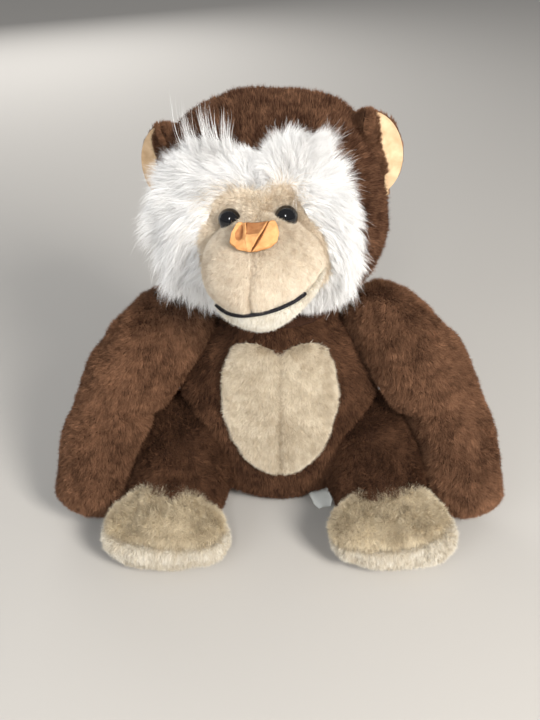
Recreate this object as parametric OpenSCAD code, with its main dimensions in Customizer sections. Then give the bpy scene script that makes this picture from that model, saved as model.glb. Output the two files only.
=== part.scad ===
// Stuffed monkey, sitting: short brown pile, white long-pile ruff, cream face, belly and feet.
// Millimetres. The monkey faces -Y, its left side is +X, and it sits on the plane z = 0.

/* [Part] */
// Piece to draw

/* [Fabric] */
// Thickness of the short-pile plush
plush = 1.8; // [1.2:0.1:3]
// Thickness of felt and suede
felt = 1.1; // [0.8:0.1:2]
// Room between a cover and the stuffing in it
ease = 0.45; // [0.3:0.05:1]
// Height of the ruff's long pile
pile = 8.5; // [4:0.5:12]

/* [Head] */
// Half width of the head
head_rx = 65; // [55:1:70]
// Half depth of the head
head_ry = 54; // [48:1:60]
// Depth of the chin side below the head's centre
head_rz = 56; // [50:1:62]
// Height of the crown above the head's centre
head_top = 67; // [56:1:74]
// Centre of the head
head_at = [-4, 8, 199]; // [-20:1:220]
// Lean back of the head, degrees
head_lean = 16; // [0:1:30]
// Roll of the head to its right, degrees
head_roll = 4; // [-10:1:15]
// Turn of the head to its right, degrees
head_turn = 8; // [-20:1:30]
// Squareness of the head seen from the front
head_p = 2.5; // [2:0.1:3]

/* [Face] */
// Half width of the muzzle
muzzle_rx = 33; // [26:1:38]
// Depth of the muzzle in front of its centre
muzzle_ry = 27; // [20:1:32]
// Half height of the muzzle
muzzle_rz = 31; // [24:1:34]
// Diameter of a safety eye
eye_d = 12; // [9:0.5:15]
// Distance from the middle of the face to an eye
eye_x = 16; // [12:0.5:20]
// Height of the eyes above the head's centre
eye_z = 4.6; // [0:0.2:12]
// Thickness of the mouth cord
cord_d = 2; // [1.2:0.1:3]

/* [Torso] */
// Radius of the flat seat
seat_r = 29; // [26:1:36]
// Thickness of the seat gusset
seat_t = 2.4; // [1.5:0.1:4]
// Radius of the neck dome
neck_r = 34; // [26:0.5:36]

/* [Arms] */
// Radius of the arm's root
arm_root = 20; // [16:0.5:21]
// Radius of the upper arm
arm_r = 25; // [19:0.5:26]
// Radius of the forearm
hand_r = 24; // [22:0.5:25]
// Radius of the elbow's ball
elbow_r = 18; // [15:0.5:19]

/* [Legs] */
// Radius of the leg's root
leg_root = 27; // [20:0.5:28]
// Radius of the leg
leg_r = 31; // [26:0.5:32]
// Radius of the ankle's ball
ankle_r = 16; // [14:0.5:20]
// Half width of a foot
foot_rx = 39; // [34:0.5:42]
// Half height of a foot
foot_rz = 18; // [16:0.2:20]

/* [Hidden] */
$fn = 48;
brown = [0.36, 0.24, 0.18];
cream = [0.80, 0.74, 0.63];
white = [0.90, 0.89, 0.87];
tan = [0.84, 0.62, 0.40];
black = [0.03, 0.03, 0.03];
fibre = [0.93, 0.93, 0.91];
neck_at = [0, 3, 124];
shoulder = [62, 6, 128];
hip = [60, -2, 40];
ankle = [66, -56, 25];
muzzle_at = [0, -52, -24];

// ---- closed solids from grids of points ----

function unit(v) = v / norm(v);
function flat(g) = [for (r = g) for (p = r) p];
function turned(f, flip) = flip ? [for (t = f) [t[0], t[2], t[1]]] : f;

// A skin between an outer and an inner grid, open on all four sides.
module patch(o, q, flip = false) {
  m = len(o); n = len(o[0]); k = m * n;
  f = concat(
    [for (i = [0:m-2]) for (j = [0:n-2]) each [
      [i*n+j, i*n+j+1, (i+1)*n+j], [i*n+j+1, (i+1)*n+j+1, (i+1)*n+j],
      [k+(i+1)*n+j, k+i*n+j+1, k+i*n+j], [k+(i+1)*n+j, k+(i+1)*n+j+1, k+i*n+j+1]]],
    [for (i = [0:m-2]) each [
      [i*n, (i+1)*n, k+i*n], [(i+1)*n, k+(i+1)*n, k+i*n],
      [(i+1)*n+n-1, i*n+n-1, k+i*n+n-1], [(i+1)*n+n-1, k+i*n+n-1, k+(i+1)*n+n-1]]],
    [for (j = [0:n-2]) each [
      [j+1, j, k+j], [j+1, k+j, k+j+1],
      [(m-1)*n+j, (m-1)*n+j+1, k+(m-1)*n+j], [(m-1)*n+j+1, k+(m-1)*n+j+1, k+(m-1)*n+j]]]);
  polyhedron(concat(flat(o), flat(q)), turned(f, flip));
}

// A round skin between outer and inner rings, open at both ends.
module band(o, q, flip = false) {
  m = len(o); n = len(o[0]); k = m * n;
  f = concat(
    [for (i = [0:m-2]) for (j = [0:n-1]) let (h = (j+1) % n) each [
      [i*n+j, i*n+h, (i+1)*n+j], [i*n+h, (i+1)*n+h, (i+1)*n+j],
      [k+(i+1)*n+j, k+i*n+h, k+i*n+j], [k+(i+1)*n+j, k+(i+1)*n+h, k+i*n+h]]],
    [for (j = [0:n-1]) let (h = (j+1) % n) each [
      [h, j, k+j], [h, k+j, k+h],
      [(m-1)*n+j, (m-1)*n+h, k+(m-1)*n+j], [(m-1)*n+h, k+(m-1)*n+h, k+(m-1)*n+j]]]);
  polyhedron(concat(flat(o), flat(q)), turned(f, flip));
}

// A round skin like band, closed at its last end by two poles.
module cup(o, op, q, qp, flip = false) {
  m = len(o); n = len(o[0]); k = m * n; s = 2 * k;
  mq = len(q);
  f = concat(
    [for (i = [0:m-2]) for (j = [0:n-1]) let (h = (j+1) % n) each [
      [i*n+j, i*n+h, (i+1)*n+j], [i*n+h, (i+1)*n+h, (i+1)*n+j],
      [k+(i+1)*n+j, k+i*n+h, k+i*n+j], [k+(i+1)*n+j, k+(i+1)*n+h, k+i*n+h]]],
    [for (j = [0:n-1]) let (h = (j+1) % n) each [
      [h, j, k+j], [h, k+j, k+h],
      [s, (m-1)*n+j, (m-1)*n+h], [s+1, k+(m-1)*n+h, k+(m-1)*n+j]]]);
  polyhedron(concat(flat(o), flat(q), [op, qp]), turned(f, flip));
}

// A solid from rings, closed at both ends by poles.
module pod(p0, o, p1, flip = false) {
  m = len(o); n = len(o[0]); k = m * n;
  f = concat(
    [for (i = [0:m-2]) for (j = [0:n-1]) let (h = (j+1) % n) each [
      [i*n+j, i*n+h, (i+1)*n+j], [i*n+h, (i+1)*n+h, (i+1)*n+j]]],
    [for (j = [0:n-1]) let (h = (j+1) % n) each [[k, h, j], [k+1, (m-1)*n+j, (m-1)*n+h]]]);
  polyhedron(concat(flat(o), [p0, p1]), turned(f, flip));
}

function across(d, up) = unit(cross(d, up));
function ring(c, d, a, b, up, n) = let (u = across(d, up), w = unit(cross(u, d)))
  [for (k = [0:n-1]) c + a*cos(360*k/n)*u + b*sin(360*k/n)*w];

// ---- limbs: stations [centre, direction, half width, half height] ----

function bez(a, c, b, t) = (1-t)*(1-t)*a + 2*t*(1-t)*c + t*t*b;
function bezd(a, c, b, t) = unit((1-t)*(c-a) + t*(b-c));

// Rounded root about a pivot, as stations, from polar angle a0 to 90 degrees.
function root(p, d, r, a0) = [for (a = [a0 : (90-a0)/3 : 90.01]) [p - d*r*cos(a), d, r*sin(a), r*sin(a)]];
function rings(st, up, n) = [for (s = st) ring(s[0], s[1], s[2], s[3], up, n)];

function side(v, s) = [s*v[0], v[1], v[2]];

// Arm layout for one side: s = 1 is the monkey's left.
function elbow(s) = s > 0 ? [104, -9, 76] : [-102.5, -8, 77];
function tip(s) = s > 0 ? [121, -38, 25.6] : [-121.5, -35, 25.6];
function mid_dir(s) = unit([0.44*s, -0.25, -0.86]);
function arm_c(s) = elbow(s) - mid_dir(s)*30;
function hand_c(s) = elbow(s) + mid_dir(s)*32;
function arm_dir(s) = unit(arm_c(s) - side(shoulder, s));

function arm_stations(s, t) = let (p = side(shoulder, s), e = elbow(s), c = arm_c(s), d = arm_dir(s), m = mid_dir(s))
  concat(root(p, d, arm_root - t, 24),
    [for (k = [0.2, 0.4, 0.58, 0.72]) let (q = bez(p, c, e, k)) [q, bezd(p, c, e, k),
      (k < 0.3 ? arm_r - 0.8 : arm_r) - t, (k < 0.3 ? arm_r - 0.8 : arm_r) - t]],
    [[e - m*15, m, 22.4 - t, 22.4 - t], [e - m*9.2, m, 19.6 - t*0.4, 19.6 - t*0.4]]);

function hand_stations(s, t) = let (e = elbow(s), c = hand_c(s), p = tip(s), m = mid_dir(s), d = unit(p - c))
  concat([for (a = [30, 60, 90]) [e - m*(elbow_r-t)*cos(a), m, (elbow_r-t)*sin(a), (elbow_r-t)*sin(a)]],
    [[e + m*8, m, 19 - t, 19 - t], [e + m*14, m, 21.6 - t, 21.6 - t], [e + m*24, unit(m + d*0.4), hand_r - 1.6 - t, hand_r - 1.6 - t],
     [bez(e, c, p, 0.72), unit(m*0.5 + d), hand_r - t, hand_r - t], [p - d*2, d, hand_r - 1 - t, hand_r - 1 - t],
     [p + d*7, d, 20.5 - t, 20.5 - t], [p + d*13.5, d, 13 - t, 13 - t]]);
function hand_end(s, t) = tip(s) + unit(tip(s) - hand_c(s)) * (17.5 - t);

up_arm = [0, -1, 0.02];

module arm_cover(s) {
  o = rings(arm_stations(s, 0), up_arm, 18); q = rings(arm_stations(s, plush), up_arm, 18);
  band(o, q);
}
module arm_stuffing(s) {
  t = plush + ease; e = elbow(s); m = mid_dir(s); r = elbow_r + 2.6;
  st = concat(arm_stations(s, t),
    [[e - m*r*cos(54), m, r*sin(54) - 1.4, r*sin(54) - 1.4], [e - m*(r+0.2)*cos(26), m, r*sin(26), r*sin(26)]]);
  pod(side(shoulder, s) - arm_dir(s)*(arm_root - t), rings(st, up_arm, 18), e - m*(r+0.3));
}
module hand_cover(s) {
  o = rings(hand_stations(s, 0), up_arm, 18); q = rings(hand_stations(s, plush), up_arm, 18);
  cup(o, hand_end(s, 0), q, hand_end(s, plush));
}
module hand_stuffing(s) {
  t = plush + ease;
  pod(elbow(s) - mid_dir(s)*(elbow_r - t), rings(hand_stations(s, t), up_arm, 18), hand_end(s, t));
}
// Gathered fabric between the torso seam and the arm: a shallow dish about the shoulder.
module shoulder_dish(s) {
  translate(side(shoulder, s)) rotate([0, -90*s, 0]) rotate_extrude() intersection() {
    difference() { circle(r = arm_root + 1.9); circle(r = arm_root + 0.6); }
    translate([3, arm_root*0.66]) square([20, 30]);
  }
}

// ---- legs and feet ----

function leg_dir(s) = unit(side(ankle, s) - side(hip, s));
function leg_stations(s, t) = let (h = side(hip, s), a = side(ankle, s), d = leg_dir(s))
  concat(root(h, d, leg_root - t, 24),
    [[h + d*9, d, leg_r - 1.6 - t, leg_r - 1.8 - t], [h + d*19, d, leg_r - t, leg_r - 0.6 - t], [h + d*31, d, leg_r - t, leg_r - 1.8 - t],
     [a - d*17, d, 28.8 - t, 25.6 - t], [a - d*9, d, 22.8 - t, 21 - t], [a, d, ankle_r - t, ankle_r - t],
     [a + d*ankle_r*0.5, d, (ankle_r - t)*0.866, (ankle_r - t)*0.866], [a + d*ankle_r*0.84, d, (ankle_r - t)*0.5, (ankle_r - t)*0.5]]);
module leg_cover(s) {
  t = plush; a = side(ankle, s); d = leg_dir(s);
  cup(rings(leg_stations(s, 0), [0, 0, 1], 18), a + d*(ankle_r - 0.2),
      rings(leg_stations(s, t), [0, 0, 1], 18), a + d*(ankle_r - t));
}
module leg_stuffing(s) {
  t = plush + ease; a = side(ankle, s); d = leg_dir(s);
  pod(side(hip, s) - d*(leg_root - t), rings(leg_stations(s, t), [0, 0, 1], 18), a + d*(ankle_r - t));
}

// Foot: rings along its own axis, [distance, half width, half height, lift].
foot_prof = [[5.5, 29, 18.8, -0.4], [12, 36, 18.8, -2.6], [20, foot_rx, foot_rz, -4.8], [28, foot_rx - 2, foot_rz - 2.2, -6.4], [34, foot_rx - 9, foot_rz - 6.5, -7.2]];
function foot_dir(s) = unit([s > 0 ? 0.05 : -0.08, -1, 0]);
function foot_roll(s) = s > 0 ? 4 : 0;
function foot_ring(s, p, t, a0, a1, n) = let (d = foot_dir(s), u = across(d, [0, 0, 1]), c = side(ankle, s) + d*p[0] + [3.6*s, 0, p[3]])
  [for (k = [0:n]) let (a = a0 + (a1 - a0)*k/n) c + (p[1]-t)*cos(a)*u + (p[2]-t)*sin(a)*[0, 0, 1]
    + [0, 0, 0.6*sin(foot_roll(s))*(p[1]-t)*cos(a)]];
function foot_toe(s, t) = side(ankle, s) + foot_dir(s)*(38.6 - t) + [3.6*s, 0, -7];
function toe_row(s, t, n) = [for (k = [0:n]) foot_toe(s, t)];
foot_seam = 8;
module foot_half(s, top) {
  a0 = top ? foot_seam + 1.2 : foot_seam - 1.2; a1 = top ? 180 - foot_seam - 1.2 : -180 - foot_seam + 1.2;
  n = 12;
  function row(p, t) = foot_ring(s, p, t, a0, a1, n);
  function last(t) = [for (k = [0:n]) let (a = a0 + (a1-a0)*k/n) foot_toe(s, t) + (21 - t)*cos(a)*across(foot_dir(s), [0,0,1]) + [0, 0, (top ? 0.35 : -0.35)*(t > 1 ? 2.2 : 1) - 1.4] - foot_dir(s)*(1.4 + 3*pow(cos(a), 2))];
  patch(concat([for (p = foot_prof) row(p, 0)], [last(0)]), concat([for (p = foot_prof) row(p, plush)], [last(plush)]), !top);
}
module foot_stuffing(s) {
  t = plush + ease; a = side(ankle, s); d = foot_dir(s); r = ankle_r + 1; n = 18;
  function full(p) = [for (k = [0:n-1]) foot_ring(s, p, t, 0, 360, n)[k]];
  prof = [foot_prof[0], foot_prof[1], foot_prof[2], foot_prof[3], [32.5, foot_rx - 10, 9.4, -7.2]];
  st = concat([ring(a + d*r*0.86, d, r*0.5, r*0.5, [0,0,1], n), ring(a + d*r*0.52, d, r*0.86, r*0.86, [0,0,1], n)],
    [for (p = prof) full(p)]);
  pod(a + d*(r + 0.2), st, foot_toe(s, t + 2.6));
}

// ---- torso ----

// Height against half width, half depth and centre line.
torso_w = [[0, 31.5], [12, 45], [24, 51], [36, 55], [50, 58], [64, 59.5], [78, 59], [90, 55], [102, 47.5], [112, 42], [120, 38], [125, 34.3]];
torso_d = [[0, 31.5], [12, 38.5], [24, 42], [36, 43.5], [50, 44], [64, 42.5], [78, 40.5], [90, 38.5], [102, 36.5], [112, 35.4], [120, 34.8], [125, 34.2]];
torso_c = [[0, 13.5], [12, 8], [24, 5.8], [36, 5], [50, 4.6], [64, 4.5], [78, 5], [90, 5.5], [102, 5.5], [112, 4.8], [120, 3.6], [125, 3]];
function tw(z) = lookup(z, torso_w);
function td(z) = lookup(z, torso_d);
function tc(z) = lookup(z, torso_c);
function torso_ring(z, t, n) = [for (k = [0:n-1]) let (a = -360*k/n) [(tw(z)-t)*cos(a), tc(z) + (td(z)-t)*sin(a), z]];
function dome_ring(a, r, n) = [for (k = [0:n-1]) let (b = -360*k/n) neck_at + [r*sin(a)*cos(b), r*sin(a)*sin(b), r*cos(a)]];
torso_z = [0.4, 12, 24, 36, 50, 64, 78, 90, 102, 112, 120];
module torso_shape_cover() {
  n = 36; r = neck_r;
  cup(concat([for (z = torso_z) torso_ring(z, 0, n)], [for (a = [86, 64, 42, 21]) dome_ring(a, r, n)]), neck_at + [0, 0, r],
      concat([for (z = torso_z) torso_ring(z, plush, n)], [for (a = [86, 64, 42, 21]) dome_ring(a, r - plush, n)]), neck_at + [0, 0, r - plush]);
}
// The room a leg needs in the torso: a ball at the hip and widening tubes over the leg's travel.
module leg_rooms(g) {
  for (s = [-1, 1]) {
    d = leg_dir(s); r0 = leg_root + g; r1 = leg_r + g + 0.3;
    translate(side(hip, s)) sphere(r = r0);
    for (a = [0, 14, 27]) {
      e = [d[0], d[1]*cos(a) + d[2]*sin(a), -d[1]*sin(a) + d[2]*cos(a)];
      translate(side(hip, s)) rotate([0, acos(e[2]), atan2(e[1], e[0])])
        rotate_extrude() polygon([[0, 0], [r0 - 1.3 + a*0.02, 0], [r1 + a*0.01, 18], [r1 + a*0.01, 70], [0, 70 + a*0.3]]);
    }
  }
}
module torso_cover() { difference() { torso_shape_cover(); leg_rooms(1.3); } }
module torso_stuffing() {
  n = 36; t = plush + ease + 0.3; r = neck_r - t;
  difference() {
    pod([0, tc(0), 3.2], concat([torso_ring(3.4, t + 3, n)],
      [for (z = [12, 24, 36, 50, 64, 78, 90, 102, 112, 120]) torso_ring(z, t, n)], [for (a = [86, 64, 42, 21]) dome_ring(a, r, n)]), neck_at + [0, 0, r]);
    leg_rooms(1.3 + t);
  }
}
module seat_base() { translate([0, tc(0), 0]) cylinder(h = seat_t, r = seat_r); }

// Belly patch half: columns across, rows up. High and low edges against distance from the seam.
patch_hi = [[0, 121.5], [5, 125.5], [12, 128], [18, 126.5], [25, 120], [29.5, 111], [32.5, 97]];
patch_lo = [[0, 40], [6, 41.5], [12, 45], [18, 51.5], [25, 62], [29.5, 72], [32.5, 85]];
function belly_y(x, z) = tc(z) - td(z)*sqrt(max(0, 1 - pow(x/tw(z), 2)));
module tummy_patch(s) {
  xs = [0.35, 5, 12, 18, 25, 29.5, 32.5]; rows = 12;
  function g(t) = [for (i = [0:rows]) [for (x = xs)
    let (lo = lookup(x, patch_lo), hi = lookup(x, patch_hi), z = lo + (hi - lo)*i/rows,
         zz = min(z, 124.9), lip = min(1, min(i, rows - i)*0.8 + 0.35), tt = t > 1 ? 0.9 + (t - 0.9)*lip : t)
      [s*x, belly_y(x, zz) - tt*(1 + x*0.012) - (z > 124 ? (z-124)*0.1 : 0), z]]];
  patch(g(3.3), g(0.8), s > 0);
}
module neck_gather() {
  translate(neck_at) rotate_extrude() intersection() {
    difference() { circle(r = neck_r + 1.8); circle(r = neck_r + 0.6); }
    translate([10, neck_r*0.36]) square([30, 30]);
  }
}

// ---- head ----

module head_place() {
  translate(head_at) rotate([-head_lean, 0, 0]) rotate([0, -head_roll, 0]) rotate([0, 0, -head_turn]) children();
}
// Point on the head at polar angle u from the face and azimuth a, lifted by k.
function squared(a) = pow(pow(abs(cos(a)), head_p) + pow(abs(sin(a)), head_p), -1/head_p);
function head_pt(u, a, k) = let (f = squared(a), h = sin(a) > 0 ? head_top : head_rz) [(head_rx+k)*sin(u)*cos(a)*f, -(head_ry+k)*cos(u), (h+k)*sin(u)*sin(a)*f];
function head_y(x, z, k) = -(head_ry+k)*sqrt(max(0.02, 1 - pow(pow(abs(x)/(head_rx+k), head_p) + pow(abs(z)/((z > 0 ? head_top : head_rz)+k), head_p), 2/head_p)));
// Edge of the face panel and of the ruff against azimuth.
face_edge = [[-90, 56], [-45, 50], [0, 37], [45, 27], [90, 23], [135, 27], [180, 37], [225, 50], [270, 56]];
ruff_edge = [[-90, 74], [-45, 68], [0, 54], [45, 50], [68, 45], [90, 37], [112, 47], [135, 57], [180, 64], [225, 74], [270, 76]];
function az(a) = a > 270 ? a - 360 : a;
head_n = 36;
function head_row(f, k) = [for (j = [0:head_n-1]) let (a = 360*j/head_n) head_pt(f[j], a, k)];
function edge_row(tab, add) = [for (j = [0:head_n-1]) lookup(az(360*j/head_n), tab) + add];
function mixed(a, b, t) = [for (j = [0:len(a)-1]) a[j]*(1-t) + b[j]*t];

module head_crown() {
  e = edge_row(ruff_edge, 0.6); far = [for (j = [0:head_n-1]) 168];
  rows = [0, 0.12, 0.26, 0.4, 0.54, 0.68, 0.84, 1];
  difference() {
    head_place() cup([for (t = rows) head_row(mixed(e, far, t), 0)], [0, head_ry, 0],
      [for (t = rows) head_row(mixed(e, far, t), -plush)], [0, head_ry - plush, 0]);
    translate(neck_at) sphere(r = neck_r + 2.4);
  }
}
module fur_ruff() {
  a = edge_row(face_edge, 0.7); b = edge_row(ruff_edge, -0.2);
  rows = [0, 0.18, 0.42, 0.68, 0.88, 1]; h = [0.22, 0.7, 0.95, 1, 0.8, 0.4];
  // The long pile stands in uneven locks.
  function lock(j, i) = i == 0 ? 1 : 1 + 0.16*sin(100*j) + 0.1*sin(47*j);
  difference() {
    head_place() band([for (i = [0:5]) [for (j = [0:head_n-1]) head_pt(mixed(a, b, rows[i])[j], 360*j/head_n, pile*h[i]*lock(j, i))]],
      [for (i = [0:5]) head_row(mixed(a, b, rows[i]), -plush)]);
    translate(neck_at) sphere(r = neck_r + 2.4);
  }
}
module face_panel() {
  e = edge_row(face_edge, -0.2); z0 = [for (j = [0:head_n-1]) 4];
  rows = [0, 0.3, 0.6, 0.85];
  head_place() difference() {
    cup([for (t = rows) head_row(mixed(e, z0, t), 0)], [0, -head_ry, 0],
        [for (t = rows) head_row(mixed(e, z0, t), -plush)], [0, -head_ry + plush, 0], true);
    for (s = [-1, 1]) eye_place(s) translate([0, 0, -8]) cylinder(h = 12, r = 2.6);
  }
}
module eye_place(s) {
  y = head_y(eye_x, eye_z, 0);
  translate([s*eye_x, y, eye_z]) rotate([0, 0, s*13]) rotate([4, 0, 0]) rotate([90, 0, 0]) children();
}
module eye(s) {
  head_place() eye_place(s) translate([0, 0, 0.55]) {
    rotate_extrude() intersection() {
      translate([0, -0.8]) circle(r = eye_d/2 + 0.15);
      square([eye_d/2, eye_d]);
    }
    translate([0, 0, -9]) cylinder(h = 9.2, r = 2.1);
  }
}
module eye_washer(s) {
  head_place() eye_place(s) translate([0, 0, -5.4]) difference() {
    cylinder(h = 1.4, r = 6.5); translate([0, 0, -1]) cylinder(h = 4, r = 2.15);
  }
}
module head_stuffing() {
  n = 24; k = -plush - ease - 0.4;
  difference() {
    head_place() difference() {
      pod([0, -head_ry - k, 0], [for (u = [16:16.4:165]) [for (j = [0:n-1]) head_pt(u, 360*j/n, k)]], [0, head_ry + k, 0]);
      for (s = [-1, 1]) eye_place(s) translate([0, 0, -12]) cylinder(h = 16, r = 7.2);
    }
    translate(neck_at) sphere(r = neck_r + 2.4 + plush);
  }
}

// Muzzle, a dome in front of the face: v climbs, h goes round to the side.
function muz(v, h, k, c) = let (p = muzzle_at + [(muzzle_rx+k)*cos(v)*sin(h), -(muzzle_ry+k)*cos(v)*cos(h), (muzzle_rz+k)*sin(v)])
  [p[0], min(p[1], head_y(p[0], p[2], 0) - c), p[2]];
function skirt(v, k, c, s) = let (p = muz(v, 96*s, k, c)) [p[0], head_y(p[0], p[2], 0) - c, p[2]];
// Mouth line: latitude against longitude, rising at the sides.
mouth = [[0, -42], [15, -41.4], [30, -39], [45, -34], [60, -26], [75, -14]];
function mouth_v(h) = lookup(abs(h), mouth) + (h > 0 ? 0.10 : -0.02)*abs(h);
hs = [1, 14, 28, 42, 56, 70, 84];
module muzzle_half(s) {
  function g(k, c) = [for (i = [0:8]) concat(
    [for (h = hs) let (hh = h == 1 ? 0.5 : h, v0 = mouth_v(min(hh, 75)*s) + 2.2) muz(v0 + (79 - v0)*i/8, hh*s, k, c)],
    [let (v0 = mouth_v(75*s) + 2.2) skirt(v0 + (79 - v0)*i/8, k, c, s)])];
  head_place() difference() {
    patch(g(0, 0.6 + plush), g(-plush, 0.6), s > 0);
    eye_place(s) sphere(r = eye_d/2 + 0.7);
  }
}
module lower_lip() {
  hl = [-75, -62, -50, -38, -26, -14, 0, 14, 26, 38, 50, 62, 75];
  function g(k, c) = [for (i = [0:5]) [for (h = hl) let (v1 = mouth_v(h) - 2.2, v0 = max(-74, v1 - 34), v = v0 + (v1 - v0)*i/4,
    p = muz(i == 0 ? v0 : v0 + (v1 - v0)*(i-1)/4, h, k, c)) i == 0 ? [p[0], max(p[1], min(head_y(p[0], p[2], 0) - c - 6, -34.5)), p[2] + 0.5] : p]];
  head_place() patch(g(-0.6, 0.6 + plush), g(-0.6 - plush, 0.6), true);
}
module mouth_cord() {
  hl = [-52:8:60]; n = 10; r = cord_d/2;
  pts = [for (h = hl) muz(mouth_v(h), h, 0.15, 2)];
  function dir(i) = unit(pts[min(i+1, len(pts)-1)] - pts[max(i-1, 0)]);
  head_place() pod(pts[0] - dir(0)*r, [for (i = [0:len(pts)-1]) ring(pts[i], dir(i), r, r, [0, 0, 1], n)], pts[len(pts)-1] + dir(len(pts)-1)*r);
}
module muzzle_stuffing() {
  n = 24; k = -plush - ease - 1.6;
  function row(v) = [for (j = [0:n-1]) muz(v, -360*j/n, k, 1.5)];
  head_place() difference() {
    pod(muzzle_at + [0, 3 - 8, -muzzle_rz - k], [for (v = [-66, -50, -34, -17, 0, 17, 34, 50, 62]) row(v)],
      muz(68, 0, k, 1.5));
    for (s = [-1, 1]) eye_place(s) sphere(r = eye_d/2 + 0.8 + plush);
  }
}
// Suede nose: a shield on the top of the muzzle with two folded nostrils.
nose_z = 9.5;
function nose_pt(x, v, k) = muz(v, asin(max(-0.9, min(0.9, x/(muzzle_rx*cos(v))))), k, 2);
module nose_patch() {
  w = [3, 7.5, 10.5, 12, 12, 10.5];
  function g(k) = [for (i = [0:5]) let (v = 24 + i*6.6) [for (j = [0:8]) nose_pt(-0.8 + w[i]*(j-4)/4, v, k)]];
  head_place() patch(g(0.45 + felt), g(0.45), true);
}
module nostril_fold(s) {
  function g(k) = [for (i = [0:5]) let (v = 27 + i*5.6) [for (j = [0:6]) let (t = j/6, x = -0.8 + s*(1.2 + (3.2 + 1.5*i)*t*(i > 3 ? 0.9 : 1)))
     nose_pt(x, v, 0.45 + felt + 0.35 + k + 3.4*sin(180*t)*sin(30 + 24*i))]];
  head_place() patch(g(felt), g(0), s > 0);
}

// Ears: a cupped leaf beside the head.
function ear_pt(s, a, r, f) = let (z = 29 + 24.5*a, zs = min(42, z),
    xs = head_rx*pow(1 - pow(zs/head_top, head_p), 1/head_p) + 1.6, w = sqrt(max(0, 1 - a*a)),
    x0 = xs + 6*pow(max(0, a - 0.45), 1.5), xo = max(57 + 18.5*w, x0 + 3.5),
    xx = x0 + (xo - x0)*r)
  [s*xx, 1 - 9*a + 5.5*pow(2*r - 0.9, 2)*-1 - 4*a*a - (a > 0.2 ? (a-0.2)*7*r : 0) - f, z];
module ear_leaf(s, f, t, i0, i1) {
  av = [-0.97, -0.8, -0.55, -0.25, 0.05, 0.35, 0.6, 0.8, 0.95];
  function g(f) = [for (a = av) [for (i = [0:6]) ear_pt(s, a*i1, i0 + (1 - 2*i0)*i/6, f)]];
  head_place() patch(g(f + t), g(f), s > 0);
}

module care_label() {
  translate([25.6, -20.4, 7.4]) rotate([0, 0, 22]) rotate([19, 0, 0])
    translate([-7, -15.4, 0]) cube([14, 15, 0.5]);
}

// ---- output ----

color(brown) torso_cover();
color(cream) tummy_patch(1);  // tummy_patch_left
color(cream) tummy_patch(-1);  // tummy_patch_right
color(brown) seat_base();
color(fibre) torso_stuffing();
color(brown) neck_gather();
color(brown) head_crown();
color(white) fur_ruff();
color(cream) face_panel();
color(cream) muzzle_half(1);  // muzzle_left
color(cream) muzzle_half(-1);  // muzzle_right
color(white) lower_lip();
color(black) mouth_cord();
color(tan) nose_patch();
color(tan) nostril_fold(1);  // nostril_fold_left
color(tan) nostril_fold(-1);  // nostril_fold_right
color(black) eye(1);  // eye_left
color(black) eye(-1);  // eye_right
color(white) eye_washer(1);  // eye_washer_left
color(white) eye_washer(-1);  // eye_washer_right
color(fibre) head_stuffing();
color(fibre) muzzle_stuffing();
color(brown) ear_leaf(1, -plush, plush, 0, 1);  // ear_back_left
color(brown) ear_leaf(-1, -plush, plush, 0, 1);  // ear_back_right
color(tan) ear_leaf(1, 0.9, felt, 0.08, 0.86);  // ear_lining_left
color(tan) ear_leaf(-1, 0.9, felt, 0.08, 0.86);  // ear_lining_right
color(brown) shoulder_dish(1);  // shoulder_gather_left
color(brown) shoulder_dish(-1);  // shoulder_gather_right
color(brown) arm_cover(1);  // upper_arm_cover_left
color(brown) arm_cover(-1);  // upper_arm_cover_right
color(fibre) arm_stuffing(1);  // upper_arm_stuffing_left
color(fibre) arm_stuffing(-1);  // upper_arm_stuffing_right
color(brown) hand_cover(1);  // forearm_cover_left
color(brown) hand_cover(-1);  // forearm_cover_right
color(fibre) hand_stuffing(1);  // forearm_stuffing_left
color(fibre) hand_stuffing(-1);  // forearm_stuffing_right
color(brown) leg_cover(1);  // leg_cover_left
color(brown) leg_cover(-1);  // leg_cover_right
color(fibre) leg_stuffing(1);  // leg_stuffing_left
color(fibre) leg_stuffing(-1);  // leg_stuffing_right
color(cream) foot_half(1, true);  // foot_top_left
color(cream) foot_half(-1, true);  // foot_top_right
color(cream) foot_half(1, false);  // foot_sole_left
color(cream) foot_half(-1, false);  // foot_sole_right
color(fibre) foot_stuffing(1);  // foot_stuffing_left
color(fibre) foot_stuffing(-1);  // foot_stuffing_right
color(white) care_label();
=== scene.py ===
import math

import bpy
import numpy as np
from mathutils import Euler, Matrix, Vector

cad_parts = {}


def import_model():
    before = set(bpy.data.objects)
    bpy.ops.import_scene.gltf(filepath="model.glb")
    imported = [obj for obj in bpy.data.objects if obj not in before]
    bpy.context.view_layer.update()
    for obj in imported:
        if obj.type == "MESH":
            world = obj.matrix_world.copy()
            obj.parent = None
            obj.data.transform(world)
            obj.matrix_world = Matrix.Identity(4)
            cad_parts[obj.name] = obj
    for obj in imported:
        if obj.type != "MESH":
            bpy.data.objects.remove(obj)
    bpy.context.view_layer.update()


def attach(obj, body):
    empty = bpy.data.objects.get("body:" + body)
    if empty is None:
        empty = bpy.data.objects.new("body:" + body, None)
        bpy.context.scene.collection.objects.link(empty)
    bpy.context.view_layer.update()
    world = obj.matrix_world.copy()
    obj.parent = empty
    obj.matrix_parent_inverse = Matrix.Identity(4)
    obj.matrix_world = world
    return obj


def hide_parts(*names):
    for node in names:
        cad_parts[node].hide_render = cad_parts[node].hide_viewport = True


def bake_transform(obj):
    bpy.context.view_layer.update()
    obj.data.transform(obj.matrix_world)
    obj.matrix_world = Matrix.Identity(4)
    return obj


# Everything here is worked out in millimetres and written to meshes in metres.
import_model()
MM = 0.001
V3 = lambda *a: np.array(a, float)


# ---------------------------------------------------------------- numbers

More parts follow.
